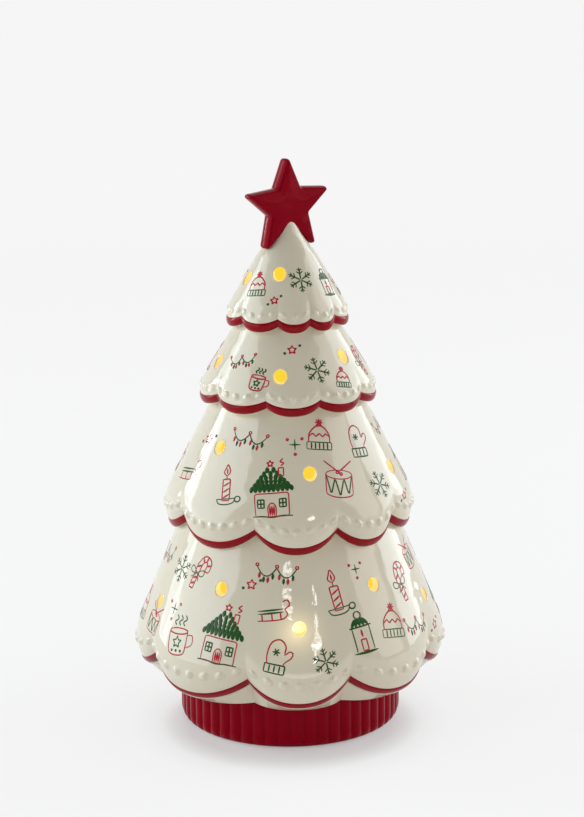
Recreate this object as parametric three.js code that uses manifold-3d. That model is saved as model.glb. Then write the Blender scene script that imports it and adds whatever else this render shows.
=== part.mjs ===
// Tabletop ceramic Christmas tree with a battery light unit.
// Millimetres, +Z up. The origin is on the surface that the tree stands on, under its middle.
// The front faces -Y. An angle on the tree is counted from the front towards +X.
import * as THREE from 'three';
import { mergeVertices } from 'three/addons/utils/BufferGeometryUtils.js';
import Module from 'manifold-3d';

const wasm = await Module();
wasm.setup();

// Fits and walls
const fitGap = 0.3;            // gap between two pieces that touch
const castWall = 4.5;          // wall of the ceramic castings
const overshoot = 5;           // how far a cutting shape runs past what it cuts

// Main heights of the tree, at the middle of a scallop
const baseHeight = 26;
const fourthHemOverBase = 3;
const thirdHemOverFourth = 77;
const secondHemOverThird = 67.9;
const firstHemOverSecond = 40.3;

// Tiers of the tree, the first one at the top. Above its curl a flank is straight and flares
// outwards, and below it the flank curls in to the hem along a parabola, whose corner lies
// cornerRise above the hem. The eight scallops of a hem were shaped by hand and differ, so the
// angles of the cusps between them are listed. Every rise is a height above the tier's own hem.
const firstHemRadius = 31.2;
const firstCurlRise = 15;
const firstCurlRadius = 28.3;
const firstFlare = 0.6;
const firstCornerRise = 7.3;
const firstCuspRise = 2.9;     // how far the hem climbs from the middle of a scallop to a cusp
const firstValley = 0.8;       // how deep the flank is drawn in over a cusp
const firstCusps = [-52, -9.5, 23.5, 54, 105, 156, 207, 258];

const secondHemRadius = 45.2;
const secondCurlRise = 15.1;
const secondCurlRadius = 43;
const secondFlare = 0.617;
const secondCornerRise = 7.1;
const secondCuspRise = 3.6;
const secondValley = 1;
const secondCusps = [-56, -15, 22, 59, 105, 154, 204, 254];

const thirdHemRadius = 62.2;
const thirdCurlRise = 24;
const thirdCurlRadius = 62.8;
const thirdFlare = 0.518;
const thirdCornerRise = 12;
const thirdCuspRise = 8.9;
const thirdValley = -0.4;
const thirdCusps = [-63, -16.7, 24, 60, 106, 154, 202, 249.5];

const fourthHemRadius = 77.4;
const fourthCurlRise = 29.2;
const fourthCurlRadius = 79.6;
const fourthFlare = 0.42;
const fourthCornerRise = 11.5;
const fourthCuspRise = 10;
const fourthValley = 2.6;
const fourthCusps = [-67, -16.7, 24, 68, 112.5, 157, 201, 246.5];

const fullTurn = 360;
const scallopPower = 2.2;      // how evenly a scallop is rounded between its two cusps
const hemUndercut = 1;         // how far the underside of a hem climbs towards the neck below it
const tipBlunt = 1.8;          // height of the cone's point that is rounded away
const stepsPerScallop = 6;
const curlShares = [0.65, 0.35];  // where rows of points lie between the band and the straight flank

// White collar under the lowest hem, from which the casting turns in to its seat on the base
const collarHeight = baseHeight + fitGap;
const collarRadius = 71.5;
const collarInset = 9;         // how far the collar draws in under a cusp

// Raised red hem bands
const bandHeight = 4.2;
const bandProud = 0.6;         // how far a band stands out of the flank
const bandRebate = 0.5;        // how deep it is let into the flank

// Light holes. Each tier has a high and a low rise, and two tiers have one between them.
const lightHoleDiameter = 7.2;
const lightHoleSides = 12;
const firstHolesHigh = 28.6;
const firstHolesLow = 25;
const secondHolesHigh = 26.3;
const secondHolesMiddle = 22.5;
const secondHolesLow = 19.7;
const thirdHolesHigh = 49.6;
const thirdHolesMiddle = 40.2;
const thirdHolesLow = 35.2;
const fourthHolesHigh = 58;
const fourthHolesLow = 42;

// Star on the point of the tree
const starTipRadius = 25;
const starNotchRadius = 12.5;
const starLegNotchRadius = 9.6;  // the notch between its two legs, which stand over the tree's point
const starThickness = 9;
const starEdgeRound = 1.4;
const starTipRound = 1.6;
const starPoints = 5;
const starTurn = 36;           // degrees that the star faces away from the front
const starSink = 1.4;          // how far the star's centre lies under the point of the cone

// Fluted base
const baseRadius = 59.3;
const baseLift = 0.6;          // height of the base's underside over the surface it stands on
const baseFloor = 6.5;         // thickness of the base's floor
const baseFootRound = 1.4;
const baseTopRound = 0.8;
const ribCount = 54;
const ribDepth = 1.1;
const ribStart = 4;            // height at which the ribs have their full depth
const stepsPerRib = 3;

// Rubber feet
const padCount = 4;
const padRadius = 5;
const padThickness = 1.5;

// AAA cells and the bay that holds them
const cellCount = 3;
const cellDiameter = 10.5;
const cellLength = 44.5;
const cellNubDiameter = 3.8;
const cellNubLength = 1.2;
const cellGap = 0.4;           // play beside, under and over each cell
const springLength = 4.6;
const springTurns = 3;
const springWire = 0.6;
const springFootRadius = 3.6;
const springTopRadius = 2.4;
const springSides = 5;
const springStepsPerTurn = 8;
const contactThickness = 0.4;
const contactWidth = 8;
const contactTabWidth = 3;
const contactTabRise = 1.6;    // how far a terminal's tab stands over the roof of the bay
const bayWall = 1.4;
const bayRoof = 1.2;

// Light unit
const plateBottom = 1.2;
const plateThickness = 2;
const coverWall = 1.6;
const coverPlay = 0.6;         // room between the corners of the bay and the cover
const headroom = 4.9;          // room over the roof of the bay, for the board and its wires
const sealWidth = 2.2;
const sealHeight = 3;
const flangeWidth = 4;
const doorThickness = 1.6;
const hingePinLength = 1.5;
const thumbLength = 10;        // groove for a fingernail at the door's free edge
const thumbWidth = 2.4;
const thumbDepth = 0.6;
const turretRadius = 6.5;
const turretBore = 5;
const screwBossRadius = 2.8;
const screwRadius = 1.1;
const screwHeadRadius = 2;
const screwHeadHeight = 1.2;
const screwReach = 8;          // how far a screw goes into its boss
const screwSpread = 14;        // distance of the two front screws from the middle
const screwRoom = 1.2;         // room between a boss and the bay

// Lamp and board
const lampCentre = 43;         // height of the lamp's chip over the surface
const lampRadius = 2.5;
const lampFlangeRadius = 2.9;
const lampFlangeHeight = 1;
const lampBelow = 5.5;         // from the lamp's chip down to its flange
const lampLength = 8.6;
const lampLegSpacing = 2.54;
const lampLegWidth = 0.5;
const holderFlange = 0.9;
const holderSleeve = 4.3;
const boardLength = 22;
const boardWidth = 14;
const boardThickness = 1.2;
const resistorRadius = 1.1;
const resistorLength = 6;
const solderInset = 4;         // from the end of the board to the joint of the red wire

// Slide switch
const switchLength = 9;
const switchWidth = 5;
const switchHeight = 4.2;
const sliderKnob = 3;
const sliderStem = 1.2;
const sliderStemReach = 1.6;   // how far the stem goes into the switch
const sliderTravel = 4;

// Wires
const wireRadius = 0.6;
const wireSides = 6;
const wireSteps = 16;

// Roundness of turned pieces
const coarseSides = 16;
const fineSides = 40;

// Tiers and the rows of their light holes, with what follows from the main heights
const fourthHem = baseHeight + fourthHemOverBase;
const thirdHem = fourthHem + thirdHemOverFourth;
const secondHem = thirdHem + secondHemOverThird;
const firstHem = secondHem + firstHemOverSecond;
const tiers = [
  { hemHeight: firstHem, hemRadius: firstHemRadius, curlRise: firstCurlRise, curlRadius: firstCurlRadius,
    flare: firstFlare, cornerRise: firstCornerRise, cuspRise: firstCuspRise, valley: firstValley,
    cusps: firstCusps },
  { hemHeight: secondHem, hemRadius: secondHemRadius, curlRise: secondCurlRise, curlRadius: secondCurlRadius,
    flare: secondFlare, cornerRise: secondCornerRise, cuspRise: secondCuspRise, valley: secondValley,
    cusps: secondCusps },
  { hemHeight: thirdHem, hemRadius: thirdHemRadius, curlRise: thirdCurlRise, curlRadius: thirdCurlRadius,
    flare: thirdFlare, cornerRise: thirdCornerRise, cuspRise: thirdCuspRise, valley: thirdValley,
    cusps: thirdCusps },
  { hemHeight: fourthHem, hemRadius: fourthHemRadius, curlRise: fourthCurlRise, curlRadius: fourthCurlRadius,
    flare: fourthFlare, cornerRise: fourthCornerRise, cuspRise: fourthCuspRise, valley: fourthValley,
    cusps: fourthCusps },
];
const lightHoleRows = [
  { hem: firstHem, rises: [firstHolesHigh, firstHolesLow], angles: [-11.3, -67.3, 168.7, 112.7] },
  { hem: secondHem, rises: [secondHolesMiddle, secondHolesLow, secondHolesHigh],
    angles: [-69.5, -5.5, 52.5, 110.5, 172.5, 232.5] },
  { hem: thirdHem, rises: [thirdHolesHigh, thirdHolesMiddle, thirdHolesLow],
    angles: [-45.5, 11.5, 69.5, 134.5, 191.5, 249.5] },
  { hem: fourthHem, rises: [fourthHolesLow, fourthHolesHigh],
    angles: [-67.2, -31.2, 3.8, 39.8, 74.8, 112.8, 148.8, 183.8, 219.8, 254.8] },
];

// Other sizes that follow from the ones above
const floorTop = baseLift + baseFloor;
const plateTop = plateBottom + plateThickness;
const doorTop = plateBottom + doorThickness;
const cellPitch = cellDiameter + cellGap;
const cellHeight = doorTop + cellGap + cellDiameter / 2;
const bayLength = cellLength + springLength + 2 * contactThickness + 3 * fitGap;
const bayWidth = cellCount * cellPitch + cellGap;
const bayTop = cellHeight + cellDiameter / 2 + cellGap;
const roofTop = bayTop + bayRoof;
const bayHalfLength = bayLength / 2 + bayWall;
const bayHalfWidth = bayWidth / 2 + bayWall;
const coverBore = Math.hypot(bayHalfLength, bayHalfWidth) + coverPlay;
const coverRadius = coverBore + coverWall;
const coverCeiling = roofTop + headroom;
const coverTop = coverCeiling + coverWall;
const baseBore = coverRadius + sealWidth + fitGap;
const flangeRadius = baseBore + flangeWidth;
const boardBottom = roofTop + fitGap;
const boardTop = boardBottom + boardThickness;
const lampBottom = lampCentre - lampBelow;
const holderTop = lampBottom - fitGap;
const turretTop = holderTop - holderFlange - fitGap;
const switchPlace = -(bayHalfWidth + screwRoom + screwBossRadius + fitGap);
const switchBottom = plateTop + fitGap;
const hingeHeight = plateBottom + doorThickness / 2;
const hingePlace = bayWidth / 2 - fitGap - doorThickness / 2;
const endOfBay = bayLength / 2 - fitGap - contactThickness / 2;
const lastTier = tiers.length - 1;
const conePoint = tiers[0].hemHeight + tiers[0].curlRise + tiers[0].curlRadius / tiers[0].flare;
const starCentre = conePoint - starSink;
const padCircle = (flangeRadius + fitGap + baseRadius - baseFootRound) / 2;

// Colours and finishes
const ivoryGlaze = new THREE.MeshStandardMaterial({ color: 0xece4d2, roughness: 0.18, metalness: 0 });
const redGlaze = new THREE.MeshStandardMaterial({ color: 0x8c0f22, roughness: 0.15, metalness: 0 });
const whitePlastic = new THREE.MeshStandardMaterial({ color: 0xe4e2dc, roughness: 0.5, metalness: 0 });
const blackPlastic = new THREE.MeshStandardMaterial({ color: 0x1c1c1e, roughness: 0.55, metalness: 0 });
const greyRubber = new THREE.MeshStandardMaterial({ color: 0x5b5b5d, roughness: 0.85, metalness: 0 });
const clearSilicone = new THREE.MeshStandardMaterial({ color: 0xc9c9c4, roughness: 0.6, metalness: 0 });
const steel = new THREE.MeshStandardMaterial({ color: 0xb5b8bc, roughness: 0.3, metalness: 1 });
const cellSleeve = new THREE.MeshStandardMaterial({ color: 0x2c5f8a, roughness: 0.4, metalness: 0.3 });
const boardGreen = new THREE.MeshStandardMaterial({ color: 0x1d6a3b, roughness: 0.5, metalness: 0 });
const lampEpoxy = new THREE.MeshStandardMaterial({
  color: 0xffe9ae, roughness: 0.1, metalness: 0, emissive: 0xffc860, emissiveIntensity: 1,
});
const resistorTan = new THREE.MeshStandardMaterial({ color: 0xc9a877, roughness: 0.6, metalness: 0 });
const redSleeve = new THREE.MeshStandardMaterial({ color: 0xb3202a, roughness: 0.5, metalness: 0 });

// Helpers: closed meshes to solids and back, and simple closed shapes with +Z up

function toSolid(geometry) {
  const bare = geometry.clone();
  bare.deleteAttribute('normal');
  bare.deleteAttribute('uv');
  const merged = mergeVertices(bare, 1e-4);
  const mesh = new wasm.Mesh({
    numProp: 3,
    vertProperties: new Float32Array(merged.attributes.position.array),
    triVerts: new Uint32Array(merged.index.array),
  });
  return new wasm.Manifold(mesh);
}

function toGeometry(solid) {
  const mesh = solid.getMesh();
  const geometry = new THREE.BufferGeometry();
  geometry.setAttribute('position', new THREE.BufferAttribute(mesh.vertProperties, 3));
  geometry.setIndex(new THREE.BufferAttribute(mesh.triVerts, 1));
  return geometry;
}

// A turned solid whose profile is a list of [radius, height], from the axis round to the axis
// or closed on itself.
function turned(profile, sides) {
  const points = profile.map(([radius, height]) => new THREE.Vector2(radius, height));
  return toSolid(new THREE.LatheGeometry(points, sides).rotateX(Math.PI / 2));
}

function disc(radius, bottom, top, sides = fineSides) {
  return turned([[0, bottom], [radius, bottom], [radius, top], [0, top]], sides);
}

function block(length, width, bottom, top, x = 0, y = 0) {
  const geometry = new THREE.BoxGeometry(length, width, top - bottom);
  geometry.translate(x, y, (bottom + top) / 2);
  return toSolid(geometry);
}

function tube(points, radius, sides, steps) {
  const section = new THREE.Shape();
  for (let side = 0; side < sides; side += 1) {
    const angle = (2 * Math.PI * side) / sides;
    const x = radius * Math.cos(angle);
    const y = radius * Math.sin(angle);
    if (side === 0) section.moveTo(x, y);
    else section.lineTo(x, y);
  }
  const path = new THREE.CatmullRomCurve3(points);
  return new THREE.ExtrudeGeometry(section, { steps, extrudePath: path });
}

// A closed surface from rings of points that all have the same count. The first ring is closed
// by a fan to the point "first" and the last one to the point "last".
function skinned(rings, first, last) {
  const count = rings[0].length;
  const positions = [...first, ...rings.flat(2), ...last];
  const lastIndex = 1 + rings.length * count;
  const index = [];
  for (let i = 0; i < count; i += 1) {
    const next = (i + 1) % count;
    index.push(0, 1 + next, 1 + i);
    for (let row = 0; row < rings.length - 1; row += 1) {
      const low = 1 + row * count;
      const high = low + count;
      index.push(low + i, low + next, high + next, low + i, high + next, high + i);
    }
    const top = 1 + (rings.length - 1) * count;
    index.push(lastIndex, top + i, top + next);
  }
  const geometry = new THREE.BufferGeometry();
  geometry.setAttribute('position', new THREE.Float32BufferAttribute(positions, 3));
  geometry.setIndex(index);
  return geometry;
}

// A closed ring of any section: each member of "sections" is the section's outline at one angle,
// and the last one joins the first.
function hoop(sections) {
  const sides = sections[0].length;
  const index = [];
  for (let i = 0; i < sections.length; i += 1) {
    const here = i * sides;
    const there = ((i + 1) % sections.length) * sides;
    for (let side = 0; side < sides; side += 1) {
      const next = (side + 1) % sides;
      index.push(here + side, there + side, here + next, there + side, there + next, here + next);
    }
  }
  const geometry = new THREE.BufferGeometry();
  geometry.setAttribute('position', new THREE.Float32BufferAttribute(sections.flat(2), 3));
  geometry.setIndex(index);
  return geometry;
}

function mix(a, b, share) {
  return a + (b - a) * share;
}

function onTree(radius, degrees, height) {
  const angle = THREE.MathUtils.degToRad(degrees);
  return [radius * Math.sin(angle), -radius * Math.cos(angle), height];
}

const root = new THREE.Group();

function addMesh(name, shape, material) {
  const geometry = shape.isBufferGeometry ? shape : toGeometry(shape);
  const mesh = new THREE.Mesh(geometry, material);
  mesh.name = name;
  root.add(mesh);
  return mesh;
}

// Shape of a tier. "rise" is a height above the hem, and "wave" is 0 at the middle of a scallop
// and 1 at a cusp, where the hem climbs and the flank has its shallow valley.

function tierStart(number) {
  if (number === 0) return conePoint - tipBlunt;
  const above = tiers[number - 1];
  return above.hemHeight + above.cuspRise + hemUndercut;
}

function scallopRadius(tier, rise) {
  if (rise >= tier.curlRise) return tier.curlRadius - tier.flare * (rise - tier.curlRise);
  const corner = tier.curlRadius + tier.flare * (tier.curlRise - tier.cornerRise);
  const a = tier.curlRise - 2 * tier.cornerRise;
  const b = tier.curlRise - tier.cornerRise;
  const root2 = Math.sqrt(Math.max(b * b - a * (tier.curlRise - rise), 0));
  const t = Math.abs(a) < 1e-6 ? (tier.curlRise - rise) / (2 * b) : (b - root2) / a;
  return (1 - t) ** 2 * tier.curlRadius + 2 * t * (1 - t) * corner + t * t * tier.hemRadius;
}

function flankPoint(number, rise, wave) {
  const tier = tiers[number];
  const left = Math.max(1 - rise / (tierStart(number) - tier.hemHeight), 0);
  const climb = wave * tier.cuspRise * left ** 2;
  const radius = scallopRadius(tier, rise) - tier.flare * climb - wave * tier.valley * left ** 3;
  return [radius, tier.hemHeight + rise + climb];
}

// A step round a tier, as an angle and as a wave
function placeOnTree(number, step) {
  const { cusps } = tiers[number];
  const scallop = Math.floor(step / stepsPerScallop);
  const share = step / stepsPerScallop - scallop;
  const from = cusps[scallop];
  const to = scallop + 1 < cusps.length ? cusps[scallop + 1] : cusps[0] + fullTurn;
  return { degrees: mix(from, to, share), wave: Math.abs(2 * share - 1) ** scallopPower };
}

const stepsAround = tiers[0].cusps.length * stepsPerScallop;

function ringOfTree(pointAt) {
  const points = [];
  for (let step = 0; step < stepsAround; step += 1) points.push(onTree(...pointAt(step)));
  return points;
}

// Straight part of a flank. Where it starts, a tier has the angles of the tier above it.
function flankRings(number) {
  const tier = tiers[number];
  return [0, 0.5].map((share) => ringOfTree((step) => {
    const own = placeOnTree(number, step);
    let startRise = tierStart(number) - tier.hemHeight;
    let degrees = own.degrees;
    if (number > 0) {
      const above = tiers[number - 1];
      const upper = placeOnTree(number - 1, step);
      startRise = above.hemHeight + upper.wave * above.cuspRise + hemUndercut - tier.hemHeight;
      degrees = mix(upper.degrees, own.degrees, share);
    }
    const [radius, height] = flankPoint(number, mix(startRise, tier.curlRise, share), own.wave);
    return [radius, degrees, height];
  }));
}

// Curled part of a flank, down to the hem, with the rebate that the red band lies in
function curlRings(number) {
  const tier = tiers[number];
  const rows = [
    [tier.curlRise, 0],
    ...curlShares.map((share) => [mix(bandHeight, tier.curlRise, share), 0]),
    [bandHeight, 0],
    [bandHeight, bandRebate],
    [0, bandRebate],
  ];
  return rows.map(([rise, inset]) => ringOfTree((step) => {
    const { degrees, wave } = placeOnTree(number, step);
    const [radius, height] = flankPoint(number, rise, wave);
    return [radius - inset, degrees, height];
  }));
}

function treeOutside() {
  const rings = [];
  for (let number = 0; number < tiers.length; number += 1) {
    rings.push(...flankRings(number), ...curlRings(number));
  }
  rings.push(ringOfTree((step) => {
    const { degrees, wave } = placeOnTree(lastTier, step);
    return [collarRadius - collarInset * wave, degrees, collarHeight];
  }));
  rings.push(ringOfTree((step) => [baseRadius, placeOnTree(lastTier, step).degrees, baseHeight]));
  rings.reverse();
  return toSolid(skinned(rings, [0, 0, baseHeight], [0, 0, conePoint - tipBlunt / 2]));
}

// The hollow keeps one wall's distance from the outside: a ball of that radius is rolled along
// the outline of the valleys, which lie nearest to the axis.
function hollowRadius(outline, height) {
  let least = Infinity;
  for (const [radius, z] of outline) {
    const off = z - height;
    if (Math.abs(off) <= castWall) {
      least = Math.min(least, radius - Math.sqrt(castWall * castWall - off * off));
    }
  }
  return least;
}

function valleyOutline() {
  const outline = [];
  const stride = 0.5;
  for (let number = 0; number < tiers.length; number += 1) {
    const { hemHeight } = tiers[number];
    for (let z = tierStart(number) - hemHeight; z >= 0; z -= stride) {
      outline.push(flankPoint(number, z, 1));
    }
  }
  const [hemRadius, hemTop] = flankPoint(lastTier, 0, 1);
  for (let z = hemTop; z >= collarHeight; z -= stride) {
    const share = (z - collarHeight) / (hemTop - collarHeight);
    outline.push([mix(collarRadius - collarInset, hemRadius, share), z]);
  }
  outline.push([baseRadius, baseHeight]);
  return outline;
}

function treeHollow() {
  const outline = valleyOutline();
  const levels = [];
  for (let number = lastTier; number >= 0; number -= 1) {
    const tier = tiers[number];
    const belly = tier.hemHeight + tier.cuspRise + castWall;
    const shoulder = Math.max(belly + castWall, tier.hemHeight + tier.curlRise + tier.cuspRise / 2);
    const waist = tierStart(number) - hemUndercut;
    levels.push(belly, shoulder);
    if (number > 0) levels.push(mix(shoulder, waist, 0.5), waist - castWall / 2, waist);
  }
  const slant = Math.hypot(1, tiers[0].flare);
  const top = conePoint - (castWall * slant) / tiers[0].flare - tipBlunt;
  const bottom = baseRadius - castWall;
  const opening = baseHeight - overshoot;
  const seat = [[0, opening], [bottom, opening], [bottom, baseHeight + castWall]];
  const flank = levels.filter((z) => z > baseHeight + castWall && z < top)
    .map((z) => [hollowRadius(outline, z), z]);
  const crown = [[tiers[0].flare * tipBlunt, top], [0, top]];
  return turned([...seat, ...flank, ...crown], stepsAround / 2);
}

function lightHole(degrees, height) {
  const start = castWall;
  const reach = baseRadius * 2 - start;
  const radius = lightHoleDiameter / 2;
  const drill = new THREE.CylinderGeometry(radius, radius, reach, lightHoleSides);
  drill.translate(0, -(start + reach / 2), 0);
  drill.rotateZ(THREE.MathUtils.degToRad(degrees));
  drill.translate(0, 0, height);
  return toSolid(drill);
}

function treeShell() {
  let shell = treeOutside().subtract(treeHollow());
  for (const { hem, rises, angles } of lightHoleRows) {
    angles.forEach((angle, number) => {
      shell = shell.subtract(lightHole(angle, hem + rises[number % rises.length]));
    });
  }
  return shell;
}

// A hem band fills its rebate up to a gap and stands out a little, with rounded edges
function hemBand(number) {
  const high = bandHeight - fitGap;
  const inner = bandRebate - fitGap;
  const outline = [
    [0, -inner],
    [0, bandProud / 2],
    [high / 2, bandProud],
    [high, bandProud / 2],
    [high, -inner],
  ];
  const sections = [];
  for (let step = 0; step < stepsAround; step += 1) {
    const { degrees, wave } = placeOnTree(number, step);
    sections.push(outline.map(([rise, out]) => {
      const [radius, height] = flankPoint(number, rise, wave);
      return onTree(radius + out, degrees, height);
    }));
  }
  return toSolid(hoop(sections));
}

// Outline of the star: each tip is an arc, and straight edges run from it to the notches. The
// tips are counted round from the top one, so the notch between the legs follows the third.
function starOutline() {
  const outline = new THREE.Shape();
  const half = Math.PI / starPoints;
  const arcCentre = starTipRadius - starTipRound;
  const along = arcCentre - starNotchRadius * Math.cos(half);
  const across = starNotchRadius * Math.sin(half);
  const spread = Math.acos(-starTipRound / Math.hypot(along, across)) - Math.atan2(across, along);
  const arcSteps = 4;
  const legNotch = (starPoints - 1) / 2;
  for (let point = 0; point < starPoints; point += 1) {
    const axis = Math.PI / 2 + point * 2 * half;
    const notch = point === legNotch ? starLegNotchRadius : starNotchRadius;
    for (let step = 0; step <= arcSteps; step += 1) {
      const turn = axis + mix(-spread, spread, step / arcSteps);
      const x = arcCentre * Math.cos(axis) + starTipRound * Math.cos(turn);
      const y = arcCentre * Math.sin(axis) + starTipRound * Math.sin(turn);
      if (point === 0 && step === 0) outline.moveTo(x, y);
      else outline.lineTo(x, y);
    }
    outline.lineTo(notch * Math.cos(axis + half), notch * Math.sin(axis + half));
  }
  return outline;
}

function starTopper() {
  const depth = starThickness - 2 * starEdgeRound;
  const star = new THREE.ExtrudeGeometry(starOutline(), {
    depth,
    bevelEnabled: true,
    bevelThickness: starEdgeRound,
    bevelSize: starEdgeRound,
    bevelOffset: -starEdgeRound,
    bevelSegments: 3,
  });
  star.translate(0, 0, -depth / 2);
  star.rotateX(Math.PI / 2);
  star.rotateZ(THREE.MathUtils.degToRad(starTurn));
  star.translate(0, 0, starCentre);
  const { flare } = tiers[0];
  const socketPoint = conePoint + (fitGap * Math.hypot(1, flare)) / flare;
  const drop = starTipRadius + overshoot;
  const mouth = socketPoint - drop;
  const socket = turned([[0, mouth], [flare * drop, mouth], [0, socketPoint]], coarseSides);
  return toSolid(star).subtract(socket);
}

// Fluted base: rounded ribs all round, which fade out over the rounded foot
function baseRing() {
  const top = baseHeight - fitGap;
  const rows = [
    { height: baseLift, inset: baseFootRound, ribs: 0 },
    { height: ribStart, inset: 0, ribs: 1 },
    { height: top - baseTopRound, inset: 0, ribs: 1 },
    { height: top, inset: baseTopRound, ribs: 0.5 },
  ];
  const count = ribCount * stepsPerRib;
  const rings = rows.map(({ height, inset, ribs }) => {
    const points = [];
    for (let step = 0; step < count; step += 1) {
      const share = (step % stepsPerRib) / stepsPerRib;
      const groove = ribDepth * (2 * share - 1) ** 2;
      points.push(onTree(baseRadius - inset - ribs * groove, (fullTurn * step) / count, height));
    }
    return points;
  });
  let base = toSolid(skinned(rings, [0, 0, baseLift], [0, 0, top]));
  base = base.subtract(disc(baseRadius - ribDepth - castWall, floorTop, top + overshoot));
  base = base.subtract(disc(baseBore, baseLift - overshoot, floorTop + overshoot));
  base = base.subtract(disc(flangeRadius + fitGap, baseLift - overshoot, plateTop + fitGap));
  for (let number = 0; number < padCount; number += 1) {
    const [x, y] = padPlace(number);
    const recess = disc(padRadius + fitGap, baseLift - overshoot, padThickness + fitGap, coarseSides);
    base = base.subtract(recess.translate([x, y, 0]));
  }
  return base;
}

function padPlace(number) {
  return onTree(padCircle, (fullTurn * (number + 0.5)) / padCount, 0);
}

// Plate of the light unit: a flange with the battery bay standing on it, open below for the door
function modulePlate() {
  let plate = disc(flangeRadius, plateBottom, plateTop);
  plate = plate.add(block(2 * bayHalfLength, 2 * bayHalfWidth, plateBottom + fitGap, roofTop));
  plate = plate.subtract(block(bayLength, bayWidth, plateBottom - overshoot, bayTop));
  const pinLength = bayLength + 2 * hingePinLength;
  const pinRoom = doorThickness + 2 * fitGap;
  plate = plate.subtract(block(pinLength, pinRoom, plateBottom - overshoot, doorTop + fitGap, 0, hingePlace));
  const slotWidth = contactThickness + 2 * fitGap;
  const slotLength = contactTabWidth + 2 * fitGap;
  for (const side of [-1, 1]) {
    const [x, y] = [side * endOfBay, side * cellPitch];
    plate = plate.subtract(block(slotWidth, slotLength, bayTop - fitGap, roofTop + overshoot, x, y));
  }
  const knobRoom = sliderTravel + sliderKnob + 2 * fitGap;
  plate = plate.subtract(block(knobRoom, sliderKnob + 2 * fitGap, plateBottom - overshoot,
    plateTop + overshoot, 0, switchPlace));
  const below = plateBottom - overshoot;
  const headRoom = plateBottom + screwHeadHeight + fitGap;
  for (const [x, y] of screwPlaces()) {
    const hole = disc(screwRadius + fitGap, below, plateTop + overshoot, coarseSides);
    const recess = disc(screwHeadRadius + fitGap, below, headRoom, coarseSides);
    plate = plate.subtract(hole.add(recess).translate([x, y, 0]));
  }
  return plate;
}

function screwPlaces() {
  const back = (bayHalfWidth + coverBore) / 2;
  return [[0, back], [-screwSpread, switchPlace], [screwSpread, switchPlace]];
}

// Cover of the light unit: a cup with a hollow turret on top and three bosses for the screws
function moduleCover() {
  const bottom = plateTop + fitGap;
  let cover = disc(coverRadius, bottom, coverTop);
  cover = cover.subtract(disc(coverBore, bottom - overshoot, coverCeiling));
  cover = cover.add(disc(turretRadius, coverCeiling, turretTop, coarseSides));
  const holeEnd = bottom + screwReach + fitGap;
  for (const [x, y] of screwPlaces()) {
    const boss = disc(screwBossRadius, bottom, coverTop - coverWall / 2, coarseSides);
    const hole = disc(screwRadius + fitGap, bottom - overshoot, holeEnd, coarseSides);
    cover = cover.add(boss.translate([x, y, 0])).subtract(hole.translate([x, y, 0]));
  }
  return cover.subtract(disc(turretBore, coverCeiling - overshoot, turretTop + overshoot, coarseSides));
}

function moduleScrew([x, y]) {
  const top = plateTop + fitGap + screwReach;
  const headTop = plateBottom + screwHeadHeight;
  const profile = [[0, plateBottom], [screwHeadRadius, plateBottom], [screwHeadRadius, headTop],
    [screwRadius, headTop], [screwRadius, top - screwRadius], [0, top]];
  return turned(profile, coarseSides).translate([x, y, 0]);
}

// Seal whose two soft edges grip the bore of the base
function sealRing() {
  const inner = coverRadius + fitGap;
  const outer = baseBore - fitGap;
  const low = plateTop + fitGap * 2;
  const groove = (outer - inner) / 3;
  return turned([
    [inner, low], [outer, low], [outer - groove, low + sealHeight / 2], [outer, low + sealHeight],
    [inner, low + sealHeight], [inner, low],
  ], fineSides);
}

// Battery door: its hinge edge is round about the axis of its two pins
function batteryDoor() {
  const free = -(bayWidth / 2 - fitGap);
  const width = hingePlace - free;
  const length = bayLength - 2 * fitGap;
  let door = block(length, width, plateBottom, doorTop, 0, free + width / 2);
  const pin = new THREE.CylinderGeometry(doorThickness / 2, doorThickness / 2,
    bayLength + 2 * hingePinLength - 2 * fitGap, coarseSides);
  pin.rotateZ(Math.PI / 2);
  pin.translate(0, hingePlace, hingeHeight);
  door = door.add(toSolid(pin));
  return door.subtract(block(thumbLength, thumbWidth, plateBottom - overshoot, plateBottom + thumbDepth,
    0, free + thumbWidth));
}

// A cell lies along X. "facing" is 1 where its nub points to +X.
function batteryCell(number, facing) {
  const half = cellLength / 2;
  const bodyEnd = half - cellNubLength;
  const bodyRadius = cellDiameter / 2;
  const profile = [[0, -half], [bodyRadius, -half], [bodyRadius, bodyEnd], [cellNubDiameter / 2, bodyEnd],
    [cellNubDiameter / 2, half], [0, half]];
  const shift = facing * (springLength / 2 + fitGap / 2);
  return turned(profile, coarseSides).rotate([0, 90 * facing, 0])
    .translate([shift, (number - 1) * cellPitch, cellHeight]);
}

// Conical spring of a cell's flat end. It stands on the contact at the end of the bay.
function batterySpring(number, side) {
  const points = [];
  const steps = springTurns * springStepsPerTurn;
  const foot = endOfBay - contactThickness / 2 - fitGap - springWire / 2;
  const free = foot - (springLength - 2 * fitGap - springWire);
  for (let step = 0; step <= steps; step += 1) {
    const share = step / steps;
    const angle = (2 * Math.PI * step) / springStepsPerTurn;
    const radius = mix(springFootRadius, springTopRadius, share);
    points.push(new THREE.Vector3(
      side * mix(foot, free, share),
      (number - 1) * cellPitch + radius * Math.cos(angle),
      cellHeight + radius * Math.sin(angle),
    ));
  }
  return tube(points, springWire / 2, springSides, steps);
}

// Contacts stand at the ends of the bay, and a terminal has a tab that goes through the roof
function contactPlate(side, from, to, hasTab) {
  const low = doorTop + 2 * fitGap;
  const high = bayTop - fitGap;
  const width = (to - from) * cellPitch + contactWidth;
  const middle = ((from + to) / 2 - 1) * cellPitch;
  let plate = block(contactThickness, width, low, high, side * endOfBay, middle);
  if (hasTab) {
    const tabTop = roofTop + contactTabRise;
    plate = plate.add(block(contactThickness, contactTabWidth, low, tabTop, side * endOfBay, middle));
  }
  return plate;
}

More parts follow.
